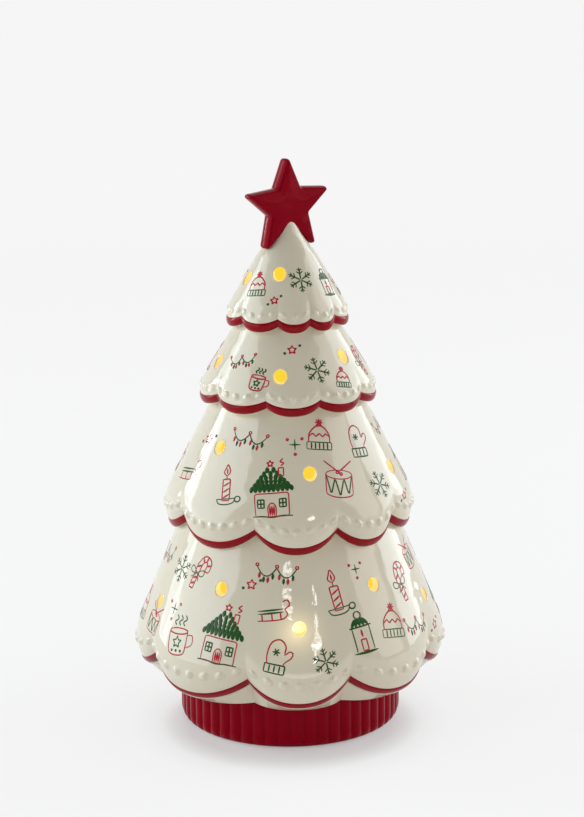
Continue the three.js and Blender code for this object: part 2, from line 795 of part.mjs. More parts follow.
// Lamp: a domed epoxy body on a flange, with two legs down to the board
function ledLamp() {
  const domeSteps = 4;
  const shoulder = lampBottom + lampLength - lampRadius;
  const flangeTop = lampBottom + lampFlangeHeight;
  const profile = [[0, lampBottom], [lampFlangeRadius, lampBottom], [lampFlangeRadius, flangeTop],
    [lampRadius, flangeTop]];
  for (let step = 0; step < domeSteps; step += 1) {
    const angle = (Math.PI / 2) * (step / domeSteps);
    profile.push([lampRadius * Math.cos(angle), shoulder + lampRadius * Math.sin(angle)]);
  }
  profile.push([0, lampBottom + lampLength]);
  let lamp = turned(profile, coarseSides);
  for (const side of [-1, 1]) {
    const x = (side * lampLegSpacing) / 2;
    lamp = lamp.add(block(lampLegWidth, lampLegWidth, boardTop + fitGap, flangeTop, x));
  }
  return lamp;
}

function ledHolder() {
  const flangeBottom = holderTop - holderFlange;
  const inner = lampLegSpacing / 2 + lampLegWidth + fitGap;
  const outer = turretBore - fitGap;
  const sleeveEnd = flangeBottom - holderSleeve;
  return turned([
    [inner, sleeveEnd], [outer, sleeveEnd], [outer, flangeBottom], [turretRadius, flangeBottom],
    [turretRadius, holderTop], [inner, holderTop], [inner, sleeveEnd],
  ], coarseSides);
}

function resistor() {
  const body = new THREE.CylinderGeometry(resistorRadius, resistorRadius, resistorLength, coarseSides);
  body.rotateZ(Math.PI / 2);
  body.translate(boardLength / 4, boardWidth / 4, boardTop + fitGap + resistorRadius);
  return toSolid(body);
}

function switchBody() {
  let body = block(switchLength, switchWidth, switchBottom, switchBottom + switchHeight, 0, switchPlace);
  const stemRoom = sliderTravel + sliderStem + 2 * fitGap;
  body = body.subtract(block(stemRoom, sliderStem + 2 * fitGap, switchBottom - overshoot,
    switchBottom + sliderStemReach + fitGap, 0, switchPlace));
  return body;
}

// The slider rests at the off end of its slot
function switchSlider() {
  const rest = -sliderTravel / 2;
  const bottom = plateBottom + fitGap;
  const stemTop = switchBottom + sliderStemReach;
  const knob = block(sliderKnob, sliderKnob, bottom, plateTop, rest, switchPlace);
  return knob.add(block(sliderStem, sliderStem, bottom, stemTop, rest, switchPlace));
}

// Wires lie over the roof of the bay. Each starts beside what it is soldered to.
function wireRun(points) {
  return tube(points.map((point) => new THREE.Vector3(...point)), wireRadius, wireSides, wireSteps);
}

const overRoof = roofTop + 2 * wireRadius + fitGap;
const solder = boardTop + wireRadius + fitGap;
const tabEnd = endOfBay - contactThickness / 2 - fitGap;
const besideBay = -(bayHalfWidth + 2 * wireRadius + fitGap);
const pinTop = switchBottom + switchHeight + wireRadius + fitGap;

function redWire() {
  const boardEnd = boardLength / 2;
  const joint = boardEnd - solderInset;
  return wireRun([
    [tabEnd, cellPitch, roofTop + contactTabRise / 2 + wireRadius],
    [mix(tabEnd, boardEnd, 0.4), cellPitch, overRoof],
    [mix(tabEnd, boardEnd, 0.8), mix(cellPitch, boardWidth / 4, 0.5), overRoof],
    [mix(boardEnd, joint, 0.4), 0, solder + wireRadius],
    [joint, -boardWidth / 4, solder],
  ]);
}

function blackWire() {
  return wireRun([
    [-tabEnd, -cellPitch, roofTop + contactTabRise / 2 + wireRadius],
    [mix(-tabEnd, 0, 0.25), -cellPitch, overRoof],
    [mix(-tabEnd, 0, 0.6), mix(-cellPitch, -bayHalfWidth, 0.5), overRoof],
    [-switchLength * 0.7, -bayHalfWidth, overRoof],
    [-switchLength / 2, besideBay, mix(pinTop, overRoof, 0.6)],
    [-switchLength / 4, mix(besideBay, switchPlace, 0.8), mix(pinTop, overRoof, 0.2)],
    [-switchLength / 4, switchPlace, pinTop],
  ]);
}

function switchWire() {
  return wireRun([
    [switchLength / 4, switchPlace, pinTop],
    [switchLength / 4, mix(besideBay, switchPlace, 0.8), mix(pinTop, overRoof, 0.2)],
    [switchLength / 3, besideBay, mix(pinTop, overRoof, 0.6)],
    [switchLength / 3, -bayHalfWidth, overRoof],
    [switchLength / 3, -mix(boardWidth / 2, bayHalfWidth, 0.4), overRoof + wireRadius],
    [switchLength / 3, -boardWidth / 4, solder],
  ]);
}

// Assembly
addMesh('tree_shell', treeShell(), ivoryGlaze);
for (let number = 0; number < tiers.length; number += 1) {
  addMesh(`hem_band_${number + 1}`, hemBand(number), redGlaze);
}
addMesh('star_topper', starTopper(), redGlaze);
addMesh('base_ring', baseRing(), redGlaze);
for (let number = 0; number < padCount; number += 1) {
  const pad = disc(padRadius, 0, padThickness, coarseSides).translate(padPlace(number));
  addMesh(`foot_pad_${number + 1}`, pad, greyRubber);
}

addMesh('module_plate', modulePlate(), whitePlastic);
addMesh('module_cover', moduleCover(), whitePlastic);
addMesh('seal_ring', sealRing(), clearSilicone);
screwPlaces().forEach((place, number) => {
  addMesh(`module_screw_${number + 1}`, moduleScrew(place), steel);
});
for (let number = 0; number < cellCount; number += 1) {
  const facing = number % 2 === 0 ? 1 : -1;
  addMesh(`battery_${number + 1}`, batteryCell(number, facing), cellSleeve);
  addMesh(`battery_spring_${number + 1}`, batterySpring(number, -facing), steel);
}
addMesh('contact_negative', contactPlate(-1, 0, 0, true), steel);
addMesh('contact_link_right', contactPlate(1, 0, 1, false), steel);
addMesh('contact_link_left', contactPlate(-1, 1, 2, false), steel);
addMesh('contact_positive', contactPlate(1, 2, 2, true), steel);
addMesh('led_board', block(boardLength, boardWidth, boardBottom, boardTop), boardGreen);
addMesh('led_lamp', ledLamp(), lampEpoxy);
addMesh('led_holder', ledHolder(), blackPlastic);
addMesh('resistor', resistor(), resistorTan);
addMesh('switch_body', switchBody(), blackPlastic);
addMesh('wire_red', redWire(), redSleeve);
addMesh('wire_black', blackWire(), blackPlastic);
addMesh('wire_switch', switchWire(), blackPlastic);

addMesh('battery_door', batteryDoor(), whitePlastic);
addMesh('switch_slider', switchSlider(), blackPlastic);

export default root;
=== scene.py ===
# %% [markdown]
# # A lit ceramic Christmas tree
#
# A slip-cast tree of four flared tiers, glazed in ivory, stands on a red fluted base. Light from
# one small lamp shines out of round holes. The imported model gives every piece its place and
# size, and this lesson gives each piece its fine surface and its finish.

# %% Load the frame
import math

import bmesh
import bpy
import numpy as np
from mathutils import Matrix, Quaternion, Vector


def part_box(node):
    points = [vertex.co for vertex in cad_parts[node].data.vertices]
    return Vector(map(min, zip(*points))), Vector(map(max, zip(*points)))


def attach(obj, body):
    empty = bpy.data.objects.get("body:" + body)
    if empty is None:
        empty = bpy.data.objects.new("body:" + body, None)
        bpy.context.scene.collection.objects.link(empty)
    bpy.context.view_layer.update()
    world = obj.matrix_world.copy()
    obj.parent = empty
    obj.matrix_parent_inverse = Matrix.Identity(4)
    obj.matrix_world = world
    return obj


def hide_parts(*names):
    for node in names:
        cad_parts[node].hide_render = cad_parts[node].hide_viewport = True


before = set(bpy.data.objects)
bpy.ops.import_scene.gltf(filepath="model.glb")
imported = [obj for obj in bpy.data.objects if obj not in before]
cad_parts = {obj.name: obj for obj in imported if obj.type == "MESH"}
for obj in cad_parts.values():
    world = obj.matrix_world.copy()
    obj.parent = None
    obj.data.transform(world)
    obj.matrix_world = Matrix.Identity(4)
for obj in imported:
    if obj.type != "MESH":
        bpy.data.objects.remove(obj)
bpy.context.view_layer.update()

MM = 0.001
CM3_PER_M3 = 1e6

# %% [markdown]
# ## Camera
#
# The photograph looks at the tree from just over a metre away and a little from above, through
# a long lens. A long lens keeps the hems flat and the flanks straight. The camera leans by less
# than half a degree, and a small sideways shift puts the tree a few pixels left of the middle.

# %% Camera
FRAME_WIDTH, FRAME_HEIGHT = 584, 817
FOCAL_PIXELS = 2036.7
TREE_AXIS_PIXEL = 288.06
camera_place = Vector((0.0, -1.04814, 0.41278))
camera_target = Vector((0.0, 0.0, 0.16785))
camera_lean = math.radians(-0.45)

camera_data = bpy.data.cameras.new("camera")
camera_data.sensor_width = 36.0
camera_data.lens = FOCAL_PIXELS / FRAME_HEIGHT * camera_data.sensor_width
camera_data.shift_x = (FRAME_WIDTH / 2 - TREE_AXIS_PIXEL) / FRAME_HEIGHT
camera = bpy.data.objects.new("camera", camera_data)
bpy.context.scene.collection.objects.link(camera)
camera.location = camera_place
camera.rotation_mode = "QUATERNION"
straight_view = (camera_target - camera_place).to_track_quat("-Z", "Y")
camera.rotation_quaternion = straight_view @ Quaternion((0, 0, 1), camera_lean)
bpy.context.scene.camera = camera
bpy.context.scene.view_settings.view_transform = "Standard"
print("lens:", round(camera_data.lens, 1), "mm")

# %% [markdown]
# ## Making a mesh from a grid of points
#
# Nearly every piece here is a grid: rows that run down a profile, and columns that run round
# the tree. A grid that joins its last column to its first makes a ring, and one that also joins
# its last row to its first makes a closed tube. Where a profile starts or ends on the axis, a
# fan of triangles closes the pole. Whole arrays go into the mesh at once, which is quick.


# %% Mesh helpers
def grid_faces(rows, columns, close_rows=False, close_columns=True):
    """Corner numbers of each square of a grid whose points are numbered row by row."""
    row = np.arange(rows if close_rows else rows - 1)[:, None]
    column = np.arange(columns if close_columns else columns - 1)[None, :]
    below = (row + 1) % rows
    beside = (column + 1) % columns
    corners = [row * columns + column, below * columns + column,
               below * columns + beside, row * columns + beside]
    corners = [np.broadcast_to(corner, (row.size, column.size)) for corner in corners]
    return np.stack(corners, -1).reshape(-1, 4)


def pole_faces(ring_start, columns, pole, before_grid):
    """Triangles from a ring of points to one pole, which lies before or after the grid's rows."""
    here = ring_start + np.arange(columns)
    beside = ring_start + (np.arange(columns) + 1) % columns
    tip = np.full(columns, pole)
    order = [here, beside, tip] if before_grid else [beside, here, tip]
    return np.stack(order, -1)


def new_mesh(name, points, quads, triangles=None, marks=None):
    """A smooth mesh in metres from points in millimetres. "marks" are material numbers."""
    triangles = np.zeros((0, 3), int) if triangles is None else triangles
    mesh = bpy.data.meshes.new(name)
    corners = np.concatenate([quads.ravel(), triangles.ravel()]).astype(np.int32)
    sizes = np.concatenate([np.full(len(quads), 4), np.full(len(triangles), 3)])
    starts = np.concatenate([[0], np.cumsum(sizes)[:-1]]).astype(np.int32)
    mesh.vertices.add(len(points))
    mesh.vertices.foreach_set("co", (np.asarray(points, float) * MM).astype(np.float32).ravel())
    mesh.loops.add(len(corners))
    mesh.loops.foreach_set("vertex_index", corners)
    mesh.polygons.add(len(sizes))
    mesh.polygons.foreach_set("loop_start", starts)
    if marks is not None:
        mesh.polygons.foreach_set("material_index", np.asarray(marks, np.int32))
    mesh.update(calc_edges=True)
    mesh.polygons.foreach_set("use_smooth", np.ones(len(sizes), bool))
    return mesh


def merged_mesh(name, parts, mark=0):
    """One mesh of separate closed parts, each given as its points, squares and triangles."""
    points, quads, fans = zip(*parts)
    starts = np.cumsum([0, *map(len, points)])
    quads = np.vstack([faces + start for faces, start in zip(quads, starts)])
    fans = np.vstack([faces + start for faces, start in zip(fans, starts)])
    return new_mesh(name, np.vstack(points), quads, fans, np.full(len(quads) + len(fans), mark))


def volume_of(mesh):
    """Volume in cubic centimetres, from the triangles: it is positive if the faces point out."""
    mesh.calc_loop_triangles()
    places = np.zeros(len(mesh.vertices) * 3, np.float32)
    mesh.vertices.foreach_get("co", places)
    corners = np.zeros(len(mesh.loop_triangles) * 3, np.int32)
    mesh.loop_triangles.foreach_get("vertices", corners)
    a, b, c = np.moveaxis(places.reshape(-1, 3)[corners].reshape(-1, 3, 3).astype(float), 1, 0)
    return float((a * np.cross(b, c)).sum()) / 6 * CM3_PER_M3


def new_piece(name, mesh, materials, body, stands_for=()):
    """An object at the origin that rides on a body and stands for CAD nodes."""
    piece = bpy.data.objects.new(name, mesh)
    bpy.context.scene.collection.objects.link(piece)
    for material in materials:
        mesh.materials.append(material)
    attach(piece, body)
    if stands_for:
        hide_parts(*stands_for)
    print(f"{name}: {len(mesh.vertices)} points, {len(mesh.polygons)} faces, {volume_of(mesh):.2f} cm3")
    return piece


def round_tree(radius, degrees, height):
    """Points on the tree from a radius, an angle counted from the front to +X, and a height."""
    angle = np.radians(degrees)
    radius, angle, height = np.broadcast_arrays(radius, angle, height)
    return np.stack([radius * np.sin(angle), -radius * np.cos(angle), height], -1)


def mix(a, b, share):
    """From a to b along a straight line, for shares from 0 to 1."""
    return a + (b - a) * share


def smooth_step(share):
    """0 up to 0, 1 from 1, and between them three squares less two cubes."""
    share = np.clip(share, 0, 1)
    return share * share * (3 - 2 * share)


# %% [markdown]
# ## Floor and light
#
# The tree stands in a white sweep of paper: a floor that curves up behind it. A large soft box
# on the left gives the bright flank. Another, on the right and a little behind the tree, draws
# the upright strip of light down the glaze. Narrow strips edge the star and the left flank, and
# a column of small panes in front leaves the broken gleam of a window. The camera and the mirror
# images in the glaze see the paper almost white by itself, and the camera sees the room white,
# so no light has to be turned up for the background.


# %% Node helpers
def add_node(tree, kind, values=(), **settings):
    """A new node of a kind, with its settings and then the values of some of its inputs."""
    node = tree.nodes.new("ShaderNode" + kind)
    for title, setting in settings.items():
        setattr(node, title, setting)
    for socket, value in dict(values).items():
        node.inputs[socket].default_value = value
    return node


def link_all(tree, *rows):
    """Each row names a node and its output, then the node and the input that it feeds."""
    for source, leaving, target, entering in rows:
        tree.links.new(source.outputs[leaving], target.inputs[entering])


# %% Stage
PAPER_MATTE = (0.84, 0.84, 0.84, 1)
PAPER_WHITE = (0.97, 0.97, 0.97, 1)
PAPER_DROP = 5e-5
# The white's share of the paper, over the distance from the tree in parts of the reach. Near the
# tree the share is low, so the paper there is darker by itself. That darkening is real shadow
# with painted shade on top, and it is deepest in front.
GLOW_REACH = 2.0
GLOW_CENTRE = (0.0, -0.018, 0.0)
GLOW_SHARES = [(0.029, 0.30), (0.0345, 0.70), (0.042, 0.80), (0.15, 0.85), (0.37, 0.88),
               (0.635, 0.907), (0.98, 0.93)]


def paper():
    """White paper: a matte that takes light and shadow, mixed with a white of its own that the
    camera and the glaze see. Its share grows with the distance, so the shadow stays, and near the
    tree the paper is darker by itself: painted shade on top of the real shadow."""
    material = bpy.data.materials.new("paper")
    material.use_nodes = True
    tree = material.node_tree
    tree.nodes.clear()
    output = add_node(tree, "OutputMaterial")
    blend = add_node(tree, "MixShader")
    matte = add_node(tree, "BsdfDiffuse", {"Color": PAPER_MATTE})
    glow = add_node(tree, "Emission", {"Color": PAPER_WHITE})
    path = add_node(tree, "LightPath")
    place = add_node(tree, "TexCoord")
    away = add_node(tree, "VectorMath", {1: GLOW_CENTRE}, operation="DISTANCE")
    reach = add_node(tree, "Math", {1: GLOW_REACH}, operation="DIVIDE")
    ramp = add_node(tree, "ValToRGB")
    marks = ramp.color_ramp.elements
    for number, (spot, share) in enumerate(GLOW_SHARES):
        mark = marks[number] if number < 2 else marks.new(spot)
        mark.position = spot
        mark.color = (share, share, share, 1)
    seen = add_node(tree, "Math", operation="MAXIMUM")
    share = add_node(tree, "Math", operation="MULTIPLY")
    link_all(tree, (place, "Object", away, 0), (away, "Value", reach, 0), (reach, 0, ramp, "Fac"),
             (path, "Is Camera Ray", seen, 0), (path, "Is Glossy Ray", seen, 1), (seen, 0, share, 0),
             (ramp, "Color", share, 1), (share, 0, blend, "Fac"), (matte, 0, blend, 1),
             (glow, 0, blend, 2), (blend, 0, output, "Surface"))
    return material


def paper_sweep(half_width=4.0, front=-3.0, bend=1.6, rise=4.0, curve=1.2, steps=24):
    """A floor that turns up into a wall along a quarter circle, as a strip of squares."""
    turn = np.linspace(0, np.pi / 2, steps)
    path = [(front, -PAPER_DROP)]
    path += [(bend + curve * math.sin(a), curve * (1 - math.cos(a)) - PAPER_DROP) for a in turn]
    path.append((bend + curve, rise))
    points = np.array([[side * half_width, y, z] for y, z in path for side in (-1, 1)]) / MM
    quads = grid_faces(len(path), 2, close_columns=False)[:, ::-1]
    return new_mesh("paper_sweep", points, quads)


sweep = bpy.data.objects.new("paper_sweep", paper_sweep())
sweep.data.materials.append(paper())
bpy.context.scene.collection.objects.link(sweep)

# %% World and lamps
ROOM_LIGHT, ROOM_STRENGTH = (1.0, 0.98, 0.94, 1), 0.15
SEEN_ROOM = (0.92, 0.92, 0.92, 1)
world = bpy.data.worlds.new("room")
bpy.context.scene.world = world
world.use_nodes = True
room = world.node_tree.nodes["Background"]
room.inputs["Color"].default_value = ROOM_LIGHT
room.inputs["Strength"].default_value = ROOM_STRENGTH
seen_room = add_node(world.node_tree, "Background", {"Color": SEEN_ROOM})
room_blend = add_node(world.node_tree, "MixShader")
room_path = add_node(world.node_tree, "LightPath")
link_all(world.node_tree, (room_path, "Is Camera Ray", room_blend, "Fac"), (room, 0, room_blend, 1),
         (seen_room, 0, room_blend, 2), (room_blend, 0, world.node_tree.nodes["World Output"], "Surface"))


def soft_box(name, place, target, width, height, power, colour):
    """A flat lamp in metres and watts that faces a point."""
    data = bpy.data.lights.new(name, "AREA")
    data.color = colour
    data.shape = "RECTANGLE"
    data.size, data.size_y = width, height
    data.energy = power
    lamp = bpy.data.objects.new(name, data)
    lamp.location = place
    direction = Vector(target) - Vector(place)
    lamp.rotation_mode = "QUATERNION"
    lamp.rotation_quaternion = direction.to_track_quat("-Z", "Y")
    bpy.context.scene.collection.objects.link(lamp)
    return lamp


COOL, NEUTRAL, WARM = (0.87, 0.95, 1.0), (1.0, 0.98, 0.97), (1.0, 0.94, 0.84)
TREE_MIDDLE, TREE_HEART, LOW_TREE, STAR_MIDDLE = (0, 0, 0.15), (0, 0, 0.1), (0, 0, 0.08), (0, 0, 0.28)
LAMPS = {
    "left_box": ((-1.19, -0.18, 0.45), TREE_MIDDLE, 1.4, 1.4, 13.5, COOL),
    "left_strip": ((-1.15, 0.47, 0.42), TREE_MIDDLE, 0.34, 0.9, 3.0, COOL),
    "star_strip": ((-1.12, 0.50, 0.44), STAR_MIDDLE, 0.14, 0.18, 1.2, NEUTRAL),
    "right_box": ((1.08, 0.53, 0.58), TREE_MIDDLE, 0.86, 1.1, 9.0, COOL),
    "right_fill": ((1.17, -0.3, 0.62), TREE_MIDDLE, 0.7, 1.1, 3.8, NEUTRAL),
    "top_box": ((0.0, 0.35, 1.5), TREE_MIDDLE, 1.2, 1.0, 4, NEUTRAL),
    "front_fill": ((0.1, -1.6, 0.3), TREE_HEART, 2.2, 0.7, 0.8, WARM),
    "front_low": ((0.04, -0.45, 0.04), LOW_TREE, 0.4, 0.06, 0.14, WARM),
}
for name, lamp in LAMPS.items():
    soft_box(name, *lamp)

# The panes stand over each other: the level, width and height of each, all equally bright.
PANE_COLUMN, PANE_RADIANCE = (0.40, -1.014), 14
PANES = [(0.36, 0.12, 0.05), (0.425, 0.13, 0.05), (0.482, 0.12, 0.035), (0.514, 0.11, 0.006),
         (0.545, 0.02, 0.03), (0.575, 0.05, 0.012)]
for level, width, height in PANES:
    power = width * height * PANE_RADIANCE * math.pi
    soft_box("window_pane", (*PANE_COLUMN, level), LOW_TREE, width, height, power, NEUTRAL)
soft_box("upper_pane", (-0.03, -1.09, 0.615), LOW_TREE, 0.16, 0.02, 0.10, NEUTRAL)
print("lamps:", len(bpy.data.lights))

# %% [markdown]
# ## Glazes
#
# A glaze is a skin of glass over clay. It is smooth but never quite flat: it ripples where it
# ran, it pools in hollows and thins over edges, and small specks show in it. A warm glow is
# painted into the glaze round the front hole. The bare wall behind that hole glows by itself,
# with a painted glare of the lamp on it. Both are emission, not lamp light. The ripple, the tone
# and the painted glow serve several finishes, so each is a node group. The shader stays in each
# material, where its plain values are set on its own sockets.


# %% Shared effects
MIX_A, MIX_B, MIX_RESULT = 6, 7, 2
FINE_WAVE_RATIO, FINE_WAVE_SHARE = 5.0, 0.06
SPOTS_PER_METRE, SPECK_EDGE, SPECK_HEART = 160.0, 0.045, 0.02
SPECK_COLOUR = (0.11, 0.08, 0.05, 1)
# How the painted glow fades towards its reach, as a power.
PAINTED_GLOW_FALL = 3.0


def group_tree(name, inputs, outputs):
    """An empty node group with named inputs (name, kind of socket, value) and outputs."""
    tree = bpy.data.node_groups.new(name, "ShaderNodeTree")
    for title, kind, value in inputs:
        socket = tree.interface.new_socket(title, in_out="INPUT", socket_type="NodeSocket" + kind)
        socket.default_value = value
    for title, kind in outputs:
        tree.interface.new_socket(title, in_out="OUTPUT", socket_type="NodeSocket" + kind)
    return tree, tree.nodes.new("NodeGroupInput"), tree.nodes.new("NodeGroupOutput")


def ripple_group():
    """Height of a skin that ran while it was wet: slow waves with a finer, weaker one on them."""
    tree, entry, result = group_tree(
        "glaze_ripple", [("Waves per metre", "Float", 90.0), ("Height in metres", "Float", 3e-5)],
        [("Normal", "Vector")])
    place = add_node(tree, "TexCoord")
    slow = add_node(tree, "TexNoise", {"Detail": 1})
    fine = add_node(tree, "TexNoise", {"Detail": 2})
    finer = add_node(tree, "Math", {1: FINE_WAVE_RATIO}, operation="MULTIPLY")
    total = add_node(tree, "Math", {1: FINE_WAVE_SHARE}, operation="MULTIPLY_ADD")
    bump = add_node(tree, "Bump")
    link_all(tree, (place, "Object", slow, "Vector"), (place, "Object", fine, "Vector"),
             (entry, "Waves per metre", slow, "Scale"), (entry, "Waves per metre", finer, 0),
             (finer, 0, fine, "Scale"), (fine, "Fac", total, 0), (slow, "Fac", total, 2),
             (total, 0, bump, "Height"), (entry, "Height in metres", bump, "Distance"),
             (bump, "Normal", result, "Normal"))
    return tree


def tone_group():
    """Two tones that drift into each other over the surface, with rare dark specks."""
    tree, entry, result = group_tree(
        "glaze_tone", [("Tone", "Color", (0.8, 0.8, 0.8, 1)), ("Other tone", "Color", (0.7, 0.7, 0.7, 1)),
                       ("Patches per metre", "Float", 25.0), ("Specks", "Float", 0.3)],
        [("Color", "Color"), ("Patch", "Float")])
    place = add_node(tree, "TexCoord")
    patches = add_node(tree, "TexNoise", {"Detail": 3})
    spots = add_node(tree, "TexVoronoi", {"Scale": SPOTS_PER_METRE})
    small = add_node(tree, "MapRange", {"From Min": SPECK_EDGE, "From Max": SPECK_HEART})
    weight = add_node(tree, "Math", operation="MULTIPLY")
    drift = add_node(tree, "Mix", data_type="RGBA")
    speck = add_node(tree, "Mix", {MIX_B: SPECK_COLOUR}, data_type="RGBA")
    link_all(tree, (place, "Object", patches, "Vector"), (place, "Object", spots, "Vector"),
             (entry, "Patches per metre", patches, "Scale"), (patches, "Fac", drift, "Factor"),
             (entry, "Tone", drift, MIX_A), (entry, "Other tone", drift, MIX_B),
             (spots, "Distance", small, "Value"), (small, 0, weight, 0), (entry, "Specks", weight, 1),
             (weight, 0, speck, "Factor"), (drift, MIX_RESULT, speck, MIX_A),
             (speck, MIX_RESULT, result, "Color"), (patches, "Fac", result, "Patch"))
    return tree


def make_painted_glow():
    """A painted warm glow round one point: an emission that fades with the distance."""
    tree, entry, result = group_tree(
        "painted_glow_nodes", [("Centre", "Vector", (0, 0, 0)), ("Reach", "Float", 0.02),
                          ("Light", "Color", (1, 0.8, 0.4, 1))],
        [("Color", "Color")])
    place = add_node(tree, "TexCoord")
    away = add_node(tree, "VectorMath", operation="DISTANCE")
    near = add_node(tree, "MapRange", {"To Min": 1.0, "To Max": 0.0})
    falling = add_node(tree, "Math", {1: PAINTED_GLOW_FALL}, operation="POWER")
    shade = add_node(tree, "VectorMath", operation="SCALE")
    link_all(tree, (place, "Object", away, 0), (entry, "Centre", away, 1), (away, "Value", near, "Value"),
             (entry, "Reach", near, "From Max"), (near, 0, falling, 0), (entry, "Light", shade, 0),
             (falling, 0, shade, "Scale"), (shade, 0, result, "Color"))
    return tree


ripple = ripple_group()
tone = tone_group()
painted_glow_nodes = make_painted_glow()
print("node groups:", len(bpy.data.node_groups))


# %% Finishes
def finish_of(name, colour, other, patches, specks, roughness, waves, wave_height, sockets=()):
    """A Principled material with drifting tone, a roughness that follows it, and a ripple."""
    material = bpy.data.materials.new(name)
    material.use_nodes = True
    tree = material.node_tree
    shader = tree.nodes["Principled BSDF"]
    shade = add_node(tree, "Group", node_tree=tone)
    skin = add_node(tree, "Group", node_tree=ripple)
    settings = [(shade, "Tone", (*colour, 1)), (shade, "Other tone", (*other, 1)),
                (shade, "Patches per metre", patches), (shade, "Specks", specks),
                (skin, "Waves per metre", waves), (skin, "Height in metres", wave_height)]
    settings += [(shader, title, value) for title, value in dict(sockets).items()]
    for node, title, value in settings:
        node.inputs[title].default_value = value
    rough = add_node(tree, "MapRange", {"To Min": roughness[0], "To Max": roughness[1]})
    link_all(tree, (shade, "Color", shader, "Base Color"), (shade, "Patch", rough, "Value"),
             (rough, 0, shader, "Roughness"), (skin, "Normal", shader, "Normal"))
    return material


def add_painted_glow(material, centre, reach, light):
    """A node that gives a material a painted glow round a point."""
    return add_node(material.node_tree, "Group", {"Centre": centre, "Reach": reach, "Light": (*light, 1)},
                    node_tree=painted_glow_nodes)


# The colour that the inside wall emits by itself. This is painted light, not lamp light.
PAINTED_INNER_GLOW = (1.0, 0.64, 0.05)
# Two tones, patches per metre, specks, roughness, waves per metre, wave height, other sockets.
FINISHES = {
    "ivory_glaze": ((0.78, 0.715, 0.57), (0.71, 0.65, 0.51), 18, 0.25, (0.03, 0.07), 90, 3.2e-4,
                    {"IOR": 1.58, "Emission Strength": 0.6}),
    "red_glaze": ((0.31, 0.002, 0.010), (0.25, 0.002, 0.008), 40, 0, (0.05, 0.1), 110, 1e-4,
                  {"IOR": 1.45, "Specular IOR Level": 0.22, "Specular Tint": (1, 0.55, 0.55, 1)}),
    "deep_red_glaze": ((0.29, 0.001, 0.010), (0.23, 0.001, 0.008), 40, 0, (0.05, 0.1), 110, 1.2e-4,
                       {"IOR": 1.45, "Specular IOR Level": 0.12, "Specular Tint": (1, 0.3, 0.4, 1)}),
    # Painted glow: the inside wall emits light of its own.
    "bisque_with_painted_glow": ((0.25, 0.15, 0.04), (0.2, 0.12, 0.03), 60, 0.2, (0.5, 0.7), 300, 3e-5,
                   {"Emission Strength": 0.88}),
    # Painted glow: the walls of the bores emit warm light of their own.
    "rim_with_painted_glow": ((0.8, 0.7, 0.5), (0.75, 0.62, 0.4), 60, 0, (0.2, 0.4), 300, 3e-5,
                {"Emission Color": (1.0, 0.72, 0.25, 1), "Emission Strength": 0.45}),
    "print_red": ((0.46, 0.010, 0.028), (0.54, 0.03, 0.05), 200, 0, (0.05, 0.1), 110, 5e-5,
                  {"IOR": 1.45, "Specular IOR Level": 0.3}),
    "print_green": ((0.012, 0.062, 0.012), (0.028, 0.115, 0.022), 200, 0, (0.05, 0.1), 110, 5e-5,
                    {"IOR": 1.45, "Specular IOR Level": 0.3}),
    "grey_rubber": ((0.12, 0.12, 0.12), (0.09, 0.09, 0.09), 120, 0, (0.75, 0.9), 900, 4e-5),
    "white_plastic": ((0.76, 0.75, 0.72), (0.73, 0.72, 0.69), 60, 0, (0.38, 0.46), 1500, 6e-6),
    "black_plastic": ((0.02, 0.02, 0.022), (0.03, 0.03, 0.03), 90, 0, (0.35, 0.5), 1200, 8e-6),
    "steel": ((0.62, 0.61, 0.58), (0.5, 0.49, 0.47), 300, 0, (0.2, 0.38), 900, 4e-6, {"Metallic": 1.0}),
    "cell_sleeve": ((0.015, 0.02, 0.03), (0.02, 0.03, 0.04), 90, 0, (0.15, 0.25), 200, 1e-5),
    "cell_band": ((0.55, 0.26, 0.1), (0.5, 0.22, 0.08), 90, 0, (0.2, 0.3), 200, 1e-5, {"Metallic": 0.9}),
    "board_green": ((0.015, 0.12, 0.04), (0.02, 0.15, 0.05), 120, 0, (0.3, 0.4), 900, 4e-6),
    "lamp_epoxy": ((0.95, 0.9, 0.7), (0.95, 0.88, 0.65), 60, 0, (0.05, 0.1), 200, 1e-5,
                   {"Emission Color": (1.0, 0.86, 0.52, 1), "Emission Strength": 6.0}),
    "resistor_tan": ((0.55, 0.36, 0.18), (0.5, 0.32, 0.15), 200, 0, (0.4, 0.5), 900, 4e-6),
    "red_sleeve": ((0.5, 0.01, 0.01), (0.4, 0.01, 0.01), 90, 0, (0.35, 0.45), 900, 4e-6),
    "clear_silicone": ((0.85, 0.87, 0.88), (0.8, 0.82, 0.84), 60, 0, (0.3, 0.42), 600, 1e-5,
                       {"Transmission Weight": 0.7, "IOR": 1.41}),
}
finish = {name: finish_of(name, *values) for name, values in FINISHES.items()}

ivory = finish["ivory_glaze"]
# The glaze round the front hole emits a warm glow. This is painted light in place of the lamp's glare.
front_painted_glow = add_painted_glow(ivory, (0.0035, -0.0735, 0.069), 0.024, (1.0, 0.78, 0.36))
link_all(ivory.node_tree, (front_painted_glow, "Color", ivory.node_tree.nodes["Principled BSDF"], "Emission Color"))

# A brighter painted glare of the lamp on the inside wall behind the front hole, added to the wall's painted
# glow.
wall = finish["bisque_with_painted_glow"]
glare_painted_on_wall = add_painted_glow(wall, (0.004, 0.055, 0.027), 0.02, (2.4, 2.0, 0.8))
wall_painted_light = add_node(wall.node_tree, "VectorMath", {0: PAINTED_INNER_GLOW})
link_all(wall.node_tree, (glare_painted_on_wall, "Color", wall_painted_light, 1),
         (wall_painted_light, 0, wall.node_tree.nodes["Principled BSDF"], "Emission Color"))
print("finishes:", len(bpy.data.materials))

# %% [markdown]
# ## The shape of a tier
#
# A tier is a flared skirt. Going down its flank, the radius grows by a steady share of the drop,
# and near the bottom it curls in to the hem. Going round it, the hem hangs in eight scallops of
# unequal width that meet in cusps. "rise" is the height above the hem, and "wave" is 0 at the
# middle of a scallop and 1 at a cusp. All sizes are in millimetres.

